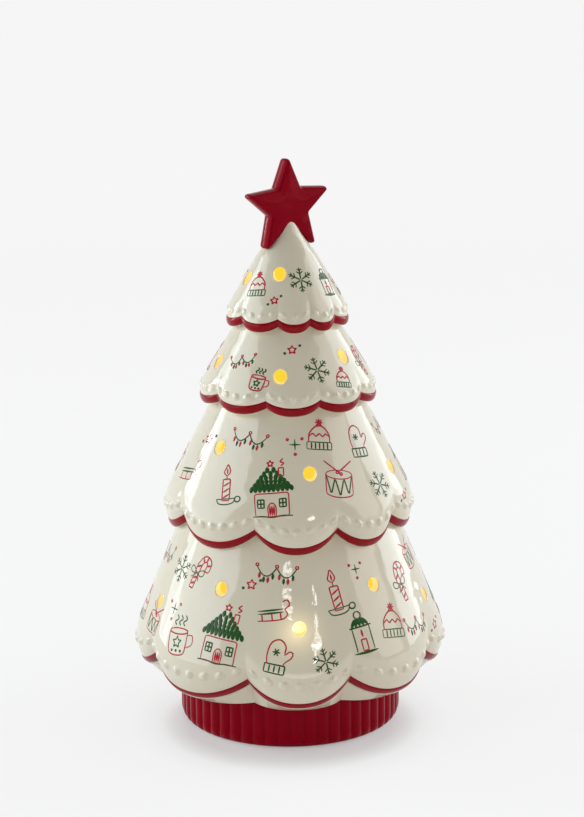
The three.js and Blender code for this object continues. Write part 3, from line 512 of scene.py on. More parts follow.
# %% Tier sizes
TIER_SIZES = ("hem_height", "hem_radius", "curl_rise", "curl_radius", "flare", "corner_rise", "cusp_rise",
              "valley", "steps", "bead_rise", "bead_radius", "bead_height", "bead_spacing", "cusps")
TIER_ROWS = [
    (214.2, 31.2, 15.0, 28.3, 0.6, 7.3, 2.9, 0.8, 40, 8.4, 1.8, 0.75, 5.4,
     (-52, -9.5, 23.5, 54, 105, 156, 207, 258)),
    (173.9, 45.2, 15.1, 43.0, 0.617, 7.1, 3.6, 1.0, 60, 9.0, 2.0, 0.9, 6.2,
     (-56, -15, 22, 59, 105, 154, 204, 254)),
    (106.0, 62.2, 24.0, 62.8, 0.518, 12.0, 8.9, -0.4, 84, 12.8, 2.5, 1.2, 6.7,
     (-63, -16.7, 24, 60, 106, 154, 202, 249.5)),
    (29.0, 77.4, 29.2, 79.6, 0.42, 11.5, 10.0, 2.6, 100, 14.4, 2.6, 1.25, 8.4,
     (-67, -16.7, 24, 68, 112.5, 157, 201, 246.5)),
]
TIERS = [dict(zip(TIER_SIZES, row)) for row in TIER_ROWS]
SCALLOP_POWER = 2.2
BEAD_POWER, BEAD_FLATNESS = 1.1, 1.05
HEM_UNDERCUT = 1.0
TIP_BLUNT = 1.8
POINT_SLIM, POINT_SLIM_FROM, POINT_SLIM_OVER = 0.2, 250.0, 14.0
CAST_WALL = 4.5
BASE_HEIGHT, BASE_RADIUS = 26.0, 59.3
COLLAR_HEIGHT, COLLAR_RADIUS, COLLAR_INSET = 26.3, 71.5, 9.0
CONE_POINT = TIERS[0]["hem_height"] + TIERS[0]["curl_rise"] + TIERS[0]["curl_radius"] / TIERS[0]["flare"]
print("point of the cone:", round(CONE_POINT, 2), "mm")


# %% Tier formulas
def scallop_radius(tier, rise):
    """Radius over the middle of a scallop: a straight line above the curl, and below it the
    parabola that leaves that line at the curl, heads for a corner point and ends at the hem."""
    top, corner_rise = tier["curl_rise"], tier["corner_rise"]
    straight = tier["curl_radius"] - tier["flare"] * (rise - top)
    corner = tier["curl_radius"] + tier["flare"] * (top - corner_rise)
    drop = np.maximum(top - rise, 0)
    reach = top - corner_rise
    bend = top - 2 * corner_rise
    t = drop / (reach + np.sqrt(np.maximum(reach * reach - bend * drop, 0)))
    curled = (1 - t) ** 2 * tier["curl_radius"] + 2 * t * (1 - t) * corner + t * t * tier["hem_radius"]
    return np.where(rise >= top, straight, curled)


def scallop_share(tier, degrees):
    """Which scallop an angle lies in, how far through it, from 0 to 1, and its width in degrees."""
    cusps = np.array([*tier["cusps"], tier["cusps"][0] + 360.0])
    turned = (np.asarray(degrees, float) - cusps[0]) % 360 + cusps[0]
    number = np.clip(np.searchsorted(cusps, turned, side="right") - 1, 0, len(cusps) - 2)
    width = cusps[number + 1] - cusps[number]
    return number, (turned - cusps[number]) / width, width


def wave_at(tier, degrees):
    """0 at the middle of a scallop and 1 at a cusp: the distance from the middle to a power."""
    share = scallop_share(tier, degrees)[1]
    return np.abs(2 * share - 1) ** SCALLOP_POWER


def start_height(number):
    """Height that the climb of a tier's flank fades out to."""
    if number == 0:
        return CONE_POINT - TIP_BLUNT
    above = TIERS[number - 1]
    return above["hem_height"] + above["cusp_rise"] + HEM_UNDERCUT


def flank(number, rise, wave):
    """Radius and height of the flank. A cusp lifts it, and makes a valley, most at the hem."""
    tier = TIERS[number]
    left = np.maximum(1 - rise / (start_height(number) - tier["hem_height"]), 0)
    climb = wave * tier["cusp_rise"] * left**2
    radius = scallop_radius(tier, rise) - tier["flare"] * climb - wave * tier["valley"] * left**3
    return radius, tier["hem_height"] + rise + climb


def rise_for(number, height, wave, rounds=12):
    """The rise whose flank point lies at a height, found by taking the climb off again and again."""
    tier = TIERS[number]
    rise = np.asarray(height - tier["hem_height"], float)
    for _ in range(rounds):
        rise = rise + (height - flank(number, rise, wave)[1])
    return rise


def flank_at(number, degrees, height):
    """Radius of a tier's flank at an angle and a height."""
    wave = wave_at(TIERS[number], degrees)
    return flank(number, rise_for(number, height, wave), wave)[0]


def tier_angles(number):
    """Angles of a tier's columns: as many steps in each scallop, so that each cusp has one."""
    tier = TIERS[number]
    edges = [*tier["cusps"], tier["cusps"][0] + 360]
    steps = tier["steps"]
    return np.concatenate([np.linspace(a, b, steps, endpoint=False) for a, b in zip(edges, edges[1:])])


def beads_at(tier, degrees, rise):
    """Height of the raised beads: each is a full dome, one less the squared distance, to a power."""
    _, share, width = scallop_share(tier, degrees)
    arc = np.radians(width) * tier["hem_radius"]
    count = np.round(arc / tier["bead_spacing"])
    across = ((share * count) % 1 - 0.5) * arc / count
    along = (rise - tier["bead_rise"]) * BEAD_FLATNESS
    distance = (across**2 + along**2) / tier["bead_radius"] ** 2
    return tier["bead_height"] * np.maximum(1 - distance, 0) ** BEAD_POWER


# %% [markdown]
# ## Inside of the casting
#
# Slip leaves a wall of even thickness. The inside is worked out as a potter's template would be:
# a ball as wide as the wall is rolled along the outside, and the hollow stays clear of it.


# %% Hollow
OUTLINE_STEP, COLLAR_STEPS, HOLLOW_LEVELS = 0.5, 12, 400
NO_LIMIT, SEAT_EASE = 1e9, 3


def hollow_outline():
    """Radius and height along the valleys of the outside, where the wall is thinnest."""
    rows = []
    for number, tier in enumerate(TIERS):
        rise = np.arange(start_height(number) - tier["hem_height"], 0, -OUTLINE_STEP)
        rows.append(np.stack(flank(number, rise, 1.0), -1))
    share = np.linspace(1, 0, COLLAR_STEPS)
    hem_radius, hem_top = flank(len(TIERS) - 1, 0.0, 1.0)
    rows.append(np.stack([mix(COLLAR_RADIUS - COLLAR_INSET, hem_radius, share),
                          mix(COLLAR_HEIGHT, hem_top, share)], -1))
    rows.append(np.array([[BASE_RADIUS, BASE_HEIGHT]]))
    return np.concatenate(rows)


outline = hollow_outline()


def hollow_radius(height):
    """Least radius that a ball of the wall's thickness leaves free at a height."""
    height = np.asarray(height, float)
    levels = np.linspace(BASE_HEIGHT, CONE_POINT, HOLLOW_LEVELS)
    off = outline[None, :, 1] - levels[:, None]
    ball = np.sqrt(np.maximum(CAST_WALL**2 - off**2, 0))
    free = np.where(np.abs(off) <= CAST_WALL, outline[None, :, 0] - ball, NO_LIMIT).min(1)
    seat = np.where(levels < BASE_HEIGHT + CAST_WALL, BASE_RADIUS - CAST_WALL, free)
    return np.interp(height, levels, np.minimum(seat, free + SEAT_EASE))


print("wall:", CAST_WALL, "mm; hollow over the base:", round(float(hollow_radius(40.0)), 1), "mm")

# %% [markdown]
# ## The four tiers
#
# Each tier is one closed grid: down the outside, round the hem, back under it, and up the
# inside. The beads are part of the grid, so its rows and columns lie closer together there.
# The tiers meet inside the wall under each hem, where no seam shows. The light holes are then
# bored with a boolean, which keeps each wall a solid with a real thickness.


# %% Tier grids
FLANK_ROWS, HEM_ROWS, INNER_ROWS, BEAD_ROW_STEP = 44, 11, 14, 0.42
BEAD_MARGIN, HEM_START, LOOK_AHEAD, TUCK_IN = 0.3, 0.45, 0.1, 0.4
# Marks: the ivory glaze, the inside wall with its painted glow, and the bores with theirs.
GLAZED, LIT, RIM = 0, 1, 2


def top_of_tier(number, degrees):
    """Height at which a tier's outside starts, just inside the underside of the hem above."""
    if number == 0:
        return np.full_like(degrees, CONE_POINT - TIP_BLUNT)
    above = TIERS[number - 1]
    return above["hem_height"] + wave_at(above, degrees) * above["cusp_rise"] + HEM_UNDERCUT + TUCK_IN


def outer_rows(number, degrees):
    """Rows down the outside, as arrays of radius and height."""
    tier = TIERS[number]
    wave = wave_at(tier, degrees)
    top_rise = rise_for(number, top_of_tier(number, degrees), wave)
    bead_top = tier["bead_rise"] + tier["bead_radius"] + BEAD_MARGIN
    bead_bottom = tier["bead_rise"] - tier["bead_radius"] - BEAD_MARGIN
    steps = int(np.ceil((bead_top - bead_bottom) / BEAD_ROW_STEP))
    level_rows = [*np.linspace(bead_top, bead_bottom, steps),
                  *np.linspace(bead_bottom, HEM_START, HEM_ROWS)[1:]]
    rises = [mix(top_rise, bead_top, share) for share in np.linspace(0, 1, FLANK_ROWS)[:-1]]
    rises += [np.full_like(degrees, rise) for rise in level_rows]
    rows = []
    for rise in rises:
        radius, height = flank(number, rise, wave)
        ahead = flank(number, rise + LOOK_AHEAD, wave)
        slope = (ahead[0] - radius) / (ahead[1] - height)
        bump = beads_at(tier, degrees, rise) / np.sqrt(1 + slope**2)
        radius = radius * (1 - POINT_SLIM * smooth_step((height - POINT_SLIM_FROM) / POINT_SLIM_OVER))
        rows.append((radius + bump, height - bump * slope))
    edge_radius, edge_height = flank(number, 0.0, wave)
    rows.append((edge_radius - 0.15, edge_height + 0.12))
    rows.append((edge_radius - 0.5, edge_height))
    return rows


def under_rows(number, degrees):
    """Rows from the hem's edge in to the hollow."""
    tier = TIERS[number]
    wave = wave_at(tier, degrees)
    edge_radius, edge_height = flank(number, 0.0, wave)
    if number == len(TIERS) - 1:
        collar = COLLAR_RADIUS - COLLAR_INSET * wave
        level = np.full_like(wave, BASE_HEIGHT)
        return [(edge_radius - 1.2, edge_height - 0.1), (collar + 1.5, COLLAR_HEIGHT + 0.6),
                (collar, COLLAR_HEIGHT), (collar - 2, BASE_HEIGHT + 0.1), (BASE_RADIUS, level),
                (BASE_RADIUS - CAST_WALL, level)]
    neck_height = edge_height + HEM_UNDERCUT
    neck = flank_at(number + 1, degrees, neck_height) - 0.8
    rows = [(mix(edge_radius - 0.5, neck, share), mix(edge_height, neck_height, share))
            for share in (0.3, 0.7, 1)]
    return [*rows, (hollow_radius(neck_height), neck_height)]


def inner_rows(number, degrees, bottom):
    """Rows up the inside, from the height where the underside ends."""
    top = top_of_tier(number, degrees)
    if number == 0:
        flare = TIERS[0]["flare"]
        crown = CONE_POINT - CAST_WALL * np.hypot(1, flare) / flare - TIP_BLUNT
        top = np.full_like(degrees, crown - 0.5)
    levels = [mix(bottom, top, share) for share in np.linspace(0, 1, INNER_ROWS)[1:]]
    return [(hollow_radius(level), level) for level in levels]


def tier_mesh(number):
    """One closed grid. The lower tiers join their last row to the first, and the top one has
    a pole on the tip and one on the crown of the hollow."""
    degrees = tier_angles(number)
    outer = outer_rows(number, degrees)
    under = under_rows(number, degrees)
    inner = inner_rows(number, degrees, under[-1][1])
    if number == 0:
        blunt = TIERS[0]["flare"] * TIP_BLUNT * (1 - POINT_SLIM)
        for turn in np.radians((30, 60)):
            level = CONE_POINT - TIP_BLUNT + TIP_BLUNT / 2 * math.sin(turn)
            outer.insert(0, (blunt * math.cos(turn), np.full_like(degrees, level)))
    rows = outer + under + inner
    points = np.stack([round_tree(radius, degrees, height) for radius, height in rows])
    count, columns = points.shape[:2]
    points = points.reshape(-1, 3)
    closed = number > 0
    quads = grid_faces(count, columns, close_rows=closed)
    strip = np.arange(count if closed else count - 1)
    marks = np.repeat(np.where(strip < len(outer) + len(under) - 1, GLAZED, LIT), columns)
    if closed:
        return new_mesh(f"tree_tier_{number + 1}", points, quads, marks=marks)
    tip, crown = len(points), len(points) + 1
    poles = [[0, 0, CONE_POINT - TIP_BLUNT / 2], [0, 0, float(inner[-1][1][0]) + 1]]
    points = np.vstack([points, poles])
    fans = np.vstack([pole_faces(0, columns, tip, True),
                      pole_faces((count - 1) * columns, columns, crown, False)])
    marks = np.concatenate([marks, np.full(columns, GLAZED), np.full(columns, LIT)])
    return new_mesh("tree_tier_1", points, quads, fans, marks)


# %% Light holes
HOLE_RADIUS, DRILL_SIDES, DRILL_REACH, DRILL_START = 3.6, 48, 110, 8
TIER_CREASE = 35
# Tier, first angle, the heights in turn, and the angles from the first one on.
HOLE_ROWS = [
    (0, -11.3, (242.8, 239.2), (0, -56)),
    (0, 168.7, (242.8, 239.2), (0, -56)),
    (1, -69.5, (196.4, 193.6, 200.2), (0, 64, 122, 180, 242, 302)),
    (2, -45.5, (155.6, 146.2, 141.2), (0, 57, 115, 180, 237, 295)),
    (3, -67.2, (71, 87), (0, 36, 71, 107, 142, 180, 216, 251, 287, 322)),
]
HOLES = [(number, first + angle, heights[i % len(heights)])
         for number, first, heights, angles in HOLE_ROWS for i, angle in enumerate(angles)]


def holes_of(number):
    """Angle and height of each hole of a tier."""
    return [(degrees, height) for tier, degrees, height in HOLES if tier == number]


def drill_mesh(number):
    """One cylinder for each hole of a tier, from inside the hollow to outside the flank."""
    around = np.linspace(0, 2 * np.pi, DRILL_SIDES, endpoint=False)[:, None]
    quads = grid_faces(2, DRILL_SIDES)[:, ::-1]
    fans = np.vstack([pole_faces(0, DRILL_SIDES, 2 * DRILL_SIDES, False),
                      pole_faces(DRILL_SIDES, DRILL_SIDES, 2 * DRILL_SIDES + 1, True)])
    parts = []
    for degrees, height in holes_of(number):
        out = round_tree(1, degrees, 0)
        side = round_tree(1, degrees + 90, 0)
        ring = HOLE_RADIUS * (np.cos(around) * side + np.sin(around) * [0, 0, 1]) + [0, 0, height]
        near = max(float(hollow_radius(height)) - DRILL_START, 1.0)
        ends = [near * out, DRILL_REACH * out]
        points = [ring + end for end in ends] + [end + [0, 0, height] for end in ends]
        parts.append((np.vstack(points), quads, fans))
    return merged_mesh(f"drill_{number + 1}", parts, RIM)


def bore(piece, cutter_mesh, materials):
    """Cuts a closed mesh out of a piece and drops the cutter."""
    cutter = bpy.data.objects.new("cutter", cutter_mesh)
    for material in materials:
        cutter_mesh.materials.append(material)
    bpy.context.scene.collection.objects.link(cutter)
    cut = piece.modifiers.new("bore", "BOOLEAN")
    cut.operation = "DIFFERENCE"
    cut.solver = "MANIFOLD"
    cut.object = cutter
    bpy.context.view_layer.update()
    result = bpy.data.meshes.new_from_object(piece.evaluated_get(bpy.context.evaluated_depsgraph_get()))
    piece.modifiers.clear()
    old = piece.data
    piece.data = result
    bpy.data.meshes.remove(old)
    bpy.data.objects.remove(cutter)
    piece.data.set_sharp_from_angle(angle=math.radians(TIER_CREASE))


# The bores take the cutters' third finish, which carries a painted glow.
tier_materials = [finish["ivory_glaze"], finish["bisque_with_painted_glow"], finish["rim_with_painted_glow"]]
for number in range(len(TIERS)):
    piece = new_piece(f"tree_tier_{number + 1}", tier_mesh(number), tier_materials, "tree",
                      ["tree_shell"])
    bore(piece, drill_mesh(number), tier_materials)
    print("bored:", len(piece.data.polygons), "faces", round(volume_of(piece.data), 2), "cm3")

# %% [markdown]
# ## Lips of the light holes
#
# Glaze gathers round a bored hole and leaves a soft lip. Each lip is a thin ring whose path is
# the line where the bore leaves the flank, so it rises and falls with the curve of the tier.


# %% Hole lips
LIP_SIDES, LIP_TURNS, LIP_THICKNESS = 10, 56, 0.42
LIP_WIDER, LIP_DEEPER, FIRST_RADIUS = 0.22, 0.27, 50.0


def hole_edge(number, degrees, height, radius, inset, turns, rounds=6):
    """The line where a level bore of some radius leaves the flank, set in by a small depth."""
    side = radius * np.cos(turns)
    level = height + radius * np.sin(turns)
    out = np.full_like(turns, FIRST_RADIUS)
    for _ in range(rounds):
        here = degrees + np.degrees(np.arcsin(side / out))
        out = flank_at(number, here, level)
    return round_tree(out - inset, degrees + np.degrees(np.arcsin(side / out)), level)


def lips_mesh(number):
    """A ring with a round section for each hole: the section turns in the plane of two
    neighbouring lines, one a little wider and one a little deeper than the edge."""
    around = np.linspace(0, 2 * np.pi, LIP_TURNS, endpoint=False)
    quads = grid_faces(LIP_SIDES, LIP_TURNS, close_rows=True)
    parts = []
    for degrees, height in holes_of(number):
        rows = []
        for turn in np.linspace(0, 2 * np.pi, LIP_SIDES, endpoint=False):
            wide = HOLE_RADIUS + LIP_WIDER + LIP_THICKNESS * math.cos(turn)
            deep = LIP_DEEPER + LIP_THICKNESS * math.sin(turn)
            rows.append(hole_edge(number, degrees, height, wide, deep, around))
        parts.append((np.vstack(rows), quads, np.zeros((0, 3), int)))
    return merged_mesh(f"hole_lips_{number + 1}", parts)


for number in range(len(TIERS)):
    new_piece(f"hole_lips_{number + 1}", lips_mesh(number), [finish["ivory_glaze"]], "tree")

# %% [markdown]
# ## Hem bands
#
# Each hem is picked out with a thick line of red glaze. It stands a little proud and is rounded,
# because glaze draws itself up like a drop. Its profile, a flat arch, is carried along the hem.

# %% Hem bands
BAND_PROUD, BAND_SINK, BAND_POWER, BAND_STEPS = 0.62, -0.45, 3.2, 13
# Rise of the lower edge, and of the upper edge at the middle of a scallop and at a cusp.
BAND_EDGES = [(0.05, 4.7, 4.7), (0.05, 4.7, 4.9), (0.05, 4.5, 4.9), (0.9, 4.2, 6.4)]


def band_mesh(number):
    """A flat arch over the rise from the band's lower to its upper edge, closed behind. The
    upper edge lies a little higher at the cusps."""
    degrees = tier_angles(number)
    wave = wave_at(TIERS[number], degrees)
    low, top_middle, top_cusp = BAND_EDGES[number]
    top = mix(top_middle, top_cusp, wave)
    profile = [(share, BAND_PROUD * (1 - abs(2 * share - 1) ** BAND_POWER))
               for share in np.linspace(1, 0, BAND_STEPS)]
    profile += [(share, BAND_SINK) for share in (0.05, 0.5, 0.95)]
    rows = []
    for share, out in profile:
        radius, height = flank(number, mix(low, top, share), wave)
        rows.append(round_tree(radius + out, degrees, height))
    quads = grid_faces(len(rows), len(degrees), close_rows=True)
    return new_mesh(f"red_band_{number + 1}", np.vstack(rows), quads)


for number in range(len(TIERS)):
    new_piece(f"red_band_{number + 1}", band_mesh(number), [finish["red_glaze"]], "tree",
              [f"hem_band_{number + 1}"])

# %% [markdown]
# ## Printed motifs
#
# Small winter drawings in red and dark green lie under the glaze, as if drawn with a fine brush.
# Each drawing is a set of strokes on a flat sheet, in millimetres. A stroke becomes a thin closed
# strip with a low rounded top, and the tier's own formulas lay its points on the flank, so it
# bends with the scallops and climbs over the beads. A dab is a short stroke that swells in the
# middle, and fills.

# %% Pen strokes
PEN_POINTS = 32
PEN_WIDTH, THIN = 0.82, 0.6
DRAWING_SCALE = 1.25
# Section of a stroke: parts of its width to the side, and millimetres up from the glaze.
INK_SECTION = ((-0.5, 0.0), (-0.3, 0.07), (0.3, 0.07), (0.5, 0.0), (0.3, -0.05), (-0.3, -0.05))
PEN_SHARE = np.linspace(0, 1, PEN_POINTS)
CURVE_STEPS = 12
RED, GREEN = "red", "green"


def even(path, shares):
    """Points of a line at some shares of its length."""
    length = np.concatenate([[0], np.cumsum(np.linalg.norm(np.diff(path, axis=0), axis=1))])
    at = shares * length[-1]
    return np.stack([np.interp(at, length, path[:, k]) for k in (0, 1)], -1)


def line(ink, *points, width=PEN_WIDTH):
    """Straight from point to point. Both ends of a stroke are drawn a little thinner."""
    width = width * (0.6 + 0.4 * np.sin(np.pi * PEN_SHARE) ** 0.3)
    return ink, even(np.array(points, float), PEN_SHARE), width


def curve(ink, *points, width=PEN_WIDTH):
    """A smooth line: between two points runs a cubic that leans as their neighbours do."""
    p = np.array(points, float)
    p = np.vstack([2 * p[0] - p[1], p, 2 * p[-1] - p[-2]])
    t = np.linspace(0, 1, CURVE_STEPS)[:, None]
    parts = []
    for a, b, c, d in zip(p, p[1:], p[2:], p[3:]):
        cubic = b + (c - a) * t / 2 + (2 * a - 5 * b + 4 * c - d) * t**2 / 2
        parts.append(cubic + (3 * b - a - 3 * c + d) * t**3 / 2)
    return line(ink, *np.vstack(parts), width=width)


def ring(ink, x, y, across, up, first=90, turn=360, width=PEN_WIDTH):
    """An ellipse or a part of one, from a first angle on."""
    angle = np.radians(first + turn * PEN_SHARE)
    return line(ink, *np.stack([x + across * np.cos(angle), y + up * np.sin(angle)], -1), width=width)


def dab(ink, start, end, width):
    """A short stroke with a full middle and fine ends."""
    ink, path, _ = line(ink, start, end)
    return ink, path, width * (0.15 + 0.85 * np.sin(np.pi * PEN_SHARE) ** 0.7)


def box(ink, left, bottom, right, top, width=PEN_WIDTH):
    """The four sides of a box in one stroke."""
    return line(ink, (left, bottom), (right, bottom), (right, top), (left, top), (left, bottom), width=width)


def star5(ink, x, y, size, width=PEN_WIDTH):
    """A small star of five points in one stroke."""
    corner = np.arange(11)
    turns = np.radians(90 + 36 * corner)
    reach = size * np.where(corner % 2 == 0, 1, 0.45)
    return line(ink, *np.stack([x + reach * np.cos(turns), y + reach * np.sin(turns)], -1), width=width)


# %% Drawings
def mitten():
    hand = curve(RED, (-3.2, -3), (-3.7, 0.5), (-2.8, 5), (0.2, 6.8), (2.9, 4.8), (3.1, 1.4), (4.7, 2.9),
                 (6.1, 2.4), (5.7, 0.4), (3.6, -1.6), (3.2, -3))
    cuff = [line(GREEN, (x, -3.4), (x, -6.2)) for x in (-2, 0, 2)]
    flake = [line(GREEN, (-0.3 - 1.5 * c, 1.8 - 1.5 * s), (-0.3 + 1.5 * c, 1.8 + 1.5 * s))
             for c, s in ((1, 0), (0.5, 0.87), (-0.5, 0.87))]
    return [hand, box(GREEN, -4, -6.6, 4, -3), *cuff, *flake]


def cane():
    left = curve(RED, (-1.2, -8), (-1.2, -2), (-1.2, 3), (0.5, 6.6), (3, 7.4), (5.6, 6), (6.3, 3), (6, 1.2))
    right = curve(RED, (1.2, -8), (1.2, -2), (1.2, 3), (1.9, 4.6), (3, 5), (3.9, 4.3), (4, 3), (3.8, 1.2))
    ends = [line(RED, (-1.2, -8), (1.2, -8)), line(RED, (3.8, 1.2), (6, 1.2))]
    stripes = [dab(RED, (-1.2, y), (1.2, y + 1.5), 1.2) for y in (-6.6, -3.9, 1.4)]
    stripes += [dab(RED, (0.3, 6.1), (1.9, 4.4), 1.2), dab(RED, (3, 7.3), (3.1, 5), 1.2),
                dab(RED, (6, 4.6), (4, 3.6), 1.1)]
    ribbons = [[(-3.4, 1), (-4.4, -0.6), (-2.8, -1.8), (0, -1)],
               [(3.2, 1.2), (4.3, -0.4), (2.8, -1.8), (0, -1)],
               [(-1.2, -2.8), (-2.6, -4)], [(1.6, -2.6), (2.6, -4.2)]]
    loops = [curve(GREEN, (0, -1), *ribbon, width=THIN) for ribbon in ribbons]
    return [left, right, *ends, *stripes, *loops]


def snowflake(size=6.0):
    strokes = []
    for turn in np.radians(90 + 60 * np.arange(6)):
        along = np.array([math.cos(turn), math.sin(turn)])
        strokes.append(line(GREEN, 0.4 * along, size * along))
        for share, twig in ((0.5, 0.34), (0.76, 0.24)):
            for bend in (-1, 1):
                lean = turn + bend * math.radians(52)
                tip = share * size * along + twig * size * np.array([math.cos(lean), math.sin(lean)])
                strokes.append(line(GREEN, share * size * along, tip, width=THIN))
    return strokes


def candle():
    stripes = [dab(RED, (-1.7, y), (1.7, y + 1.8), 1.0) for y in (-5.4, -2.8, -0.2)]
    flame = curve(RED, (0, 4.4), (-1.5, 6), (-0.7, 7.8), (0.2, 9.4), (1.3, 7.4), (1.4, 5.8), (0, 4.4))
    holder = curve(GREEN, (-4.6, -5.6), (-3.4, -7.6), (0, -8.2), (3.4, -7.6), (4.6, -5.6), width=0.7)
    return [box(RED, -1.8, -6.4, 1.8, 3), *stripes, line(GREEN, (0, 3), (0, 4.6), width=THIN), flame,
            dab(RED, (0.1, 5.2), (0.1, 7.8), 1.0), holder, line(GREEN, (-4.6, -5.7), (4.6, -5.7), width=THIN),
            ring(GREEN, 5.6, -6.2, 1.3, 1.2)]


def mug():
    body = curve(RED, (-4.6, 3), (-4.4, -2), (-3.6, -5), (0, -5.8), (3.6, -5), (4.4, -2), (4.6, 3))
    grip = curve(RED, (4.6, 1.8), (7, 1.6), (7.2, -1.4), (4.3, -2.9), width=THIN)
    steam = [curve(GREEN, (x, 5), (x - 0.9, 6.2), (x + 0.6, 7.4), (x - 0.2, 8.8)) for x in (-1.8, 0.4, 2.6)]
    dots = [ring(GREEN, x, -4.1, 0.3, 0.3) for x in (-2.2, 0, 2.2)]
    return [body, ring(RED, 0, 3, 4.6, 1.1), grip, star5(GREEN, -0.1, -1, 2.3), *steam, *dots]


def lantern():
    roof = [dab(GREEN, (x, 4.2), (x * 0.35, 7.2), 2.0) for x in (-3.6, -1.8, 0, 1.8, 3.6)]
    bars = [line(GREEN, (x, 4), (x, -5.2), width=0.75) for x in (-3.6, 3.6)]
    floor = [dab(GREEN, (-5, -5.8), (5, -5.8), 1.5), line(GREEN, (-4.6, 4), (4.6, 4), width=0.9)]
    inside = [box(RED, -1.1, -5, 1.1, -0.8), dab(RED, (0, 0), (0, 3), 1.3)]
    return [*roof, *bars, *floor, *inside, ring(GREEN, 0, 8.4, 1.4, 1.4)]


def cap():
    dome = curve(RED, (-4.8, -1.6), (-4.4, 2.2), (-1.6, 5.4), (1.6, 5.4), (4.4, 2.2), (4.8, -1.6))
    zigzag = line(RED, (-4.5, 1), (-3, 2.4), (-1.5, 1), (0, 2.4), (1.5, 1), (3, 2.4), (4.5, 1))
    ball = [dab(RED, (0, 7.2), (1.9 * c, 7.2 + 1.9 * s), 0.9) for c, s in
            zip(np.cos(np.arange(8) * np.pi / 4), np.sin(np.arange(8) * np.pi / 4))]
    ribs = [line(GREEN, (x, -1.8), (x, -4.4)) for x in (-3.6, -1.8, 0, 1.8, 3.6)]
    return [dome, zigzag, *ball, *ribs, box(GREEN, -5.6, -4.7, 5.6, -1.5, width=THIN)]


def drum():
    lacing = line(GREEN, (-5.2, 2.6), (-3.6, -4.6), (-1.8, 1.6), (0, -5.3),
                  (1.8, 1.6), (3.6, -4.6), (5.2, 2.6))
    sides = [line(RED, (x, 3), (x, -4), width=THIN) for x in (-5.4, 5.4)]
    sticks = [line(RED, (-6, 8), (0.6, 3.4)), line(RED, (5.4, 8.4), (-0.4, 3.8))]
    knobs = [ring(RED, 0.8, 3.3, 0.5, 0.5), ring(RED, -0.7, 3.9, 0.5, 0.5)]
    rim = ring(RED, 0, -4, 5.4, 1.7, first=180, turn=180, width=0.7)
    return [ring(RED, 0, 3, 5.4, 1.7, width=THIN), rim, lacing, *sides, *sticks, *knobs]


def sled():
    runner = curve(RED, (-7, -3), (0, -3.3), (5.4, -3.1), (7.6, -1.2), (6.6, 1.4), width=0.7)
    posts = [line(RED, (x, -3.2), (x, 0)) for x in (-4.6, 0.2, 4.4)]
    deck = [dab(GREEN, (-6.6, y), (6.2, y), 1.0) for y in (0.2, 1.6)]
    return [runner, *posts, *deck, curve(RED, (6.6, 1.4), (9, 3.2), (8.2, 5.6), (6, 5))]


def lights():
    """A string of lights in two swags. A swag is a parabola between two knots."""
    swag, knot, slack = 8.6, 3.2, 16

    def height(x):
        share = x % swag / swag
        return knot - slack * share * (1 - share)

    string = line(GREEN, *[(x, height(x)) for x in np.linspace(-swag, swag - 0.001, 33)], width=0.7)
    bulbs = [dab((RED, GREEN)[k % 2], (x, height(x) - 0.4), (x * 1.02, height(x) - 3.1), 1.5)
             for k, x in enumerate((-7.2, -5.2, -3.4, -1.4, 1.4, 3.4, 5.2, 7.2))]
    return [string, *bulbs, *[ring(RED, x, 3.7, 0.6, 0.6) for x in (-swag, 0, swag)]]


def house():
    roof = []
    for row in range(6):
        half, eave = 10.4 - 1.75 * row, 1.2 + 1.9 * row
        roof += [dab(GREEN, (x, eave), (x * 0.9, eave + 3.1), 2.3)
                 for x in np.linspace(-half, half, max(int(round(half)), 2))]
    windows = []
    for x in (-5.4, 5.4):
        windows += [box(GREEN, x - 1.6, -6.4, x + 1.6, -2.4), line(GREEN, (x, -6.4), (x, -2.4)),
                    line(GREEN, (x - 1.6, -4.4), (x + 1.6, -4.4))]
    door = [curve(RED, (-1.9, -11), (-1.9, -6), (0, -4.2), (1.9, -6), (1.9, -11), width=0.7)]
    door += [dab(RED, (x, -10.6), (x, -5.4), 1.1) for x in (-1, 0, 1)]
    smoke = curve(RED, (5.2, 14), (6.6, 15.2), (5, 16.2), (6.4, 17.6))
    ground = curve(GREEN, (-10, -11.2), (-5, -10.8), (0, -11.4), (5, -10.8), (10, -11.2), width=0.8)
    walls = [box(RED, -8.4, -11, 8.4, 0.6, width=0.7), box(RED, 4, 9, 6.4, 13, width=0.7)]
    return [*roof, *windows, *door, *walls, smoke, ground, star5(RED, 0, 15.4, 1.8)]


def speck():
    return [star5(RED, 0, 0, 2.2), ring(GREEN, 3.6, 2, 0.35, 0.35), ring(GREEN, -3.4, -1.6, 0.35, 0.35)]


def gem():
    return [dab(GREEN, (-2.4, 0), (2.4, 0), 0.8), dab(GREEN, (0, -2.4), (0, 2.4), 0.8),
            ring(RED, 3, 2.4, 0.4, 0.4), ring(RED, -3, 2.2, 0.4, 0.4), ring(RED, 0, -4, 0.4, 0.4)]


print("strokes of a house:", len(house()))

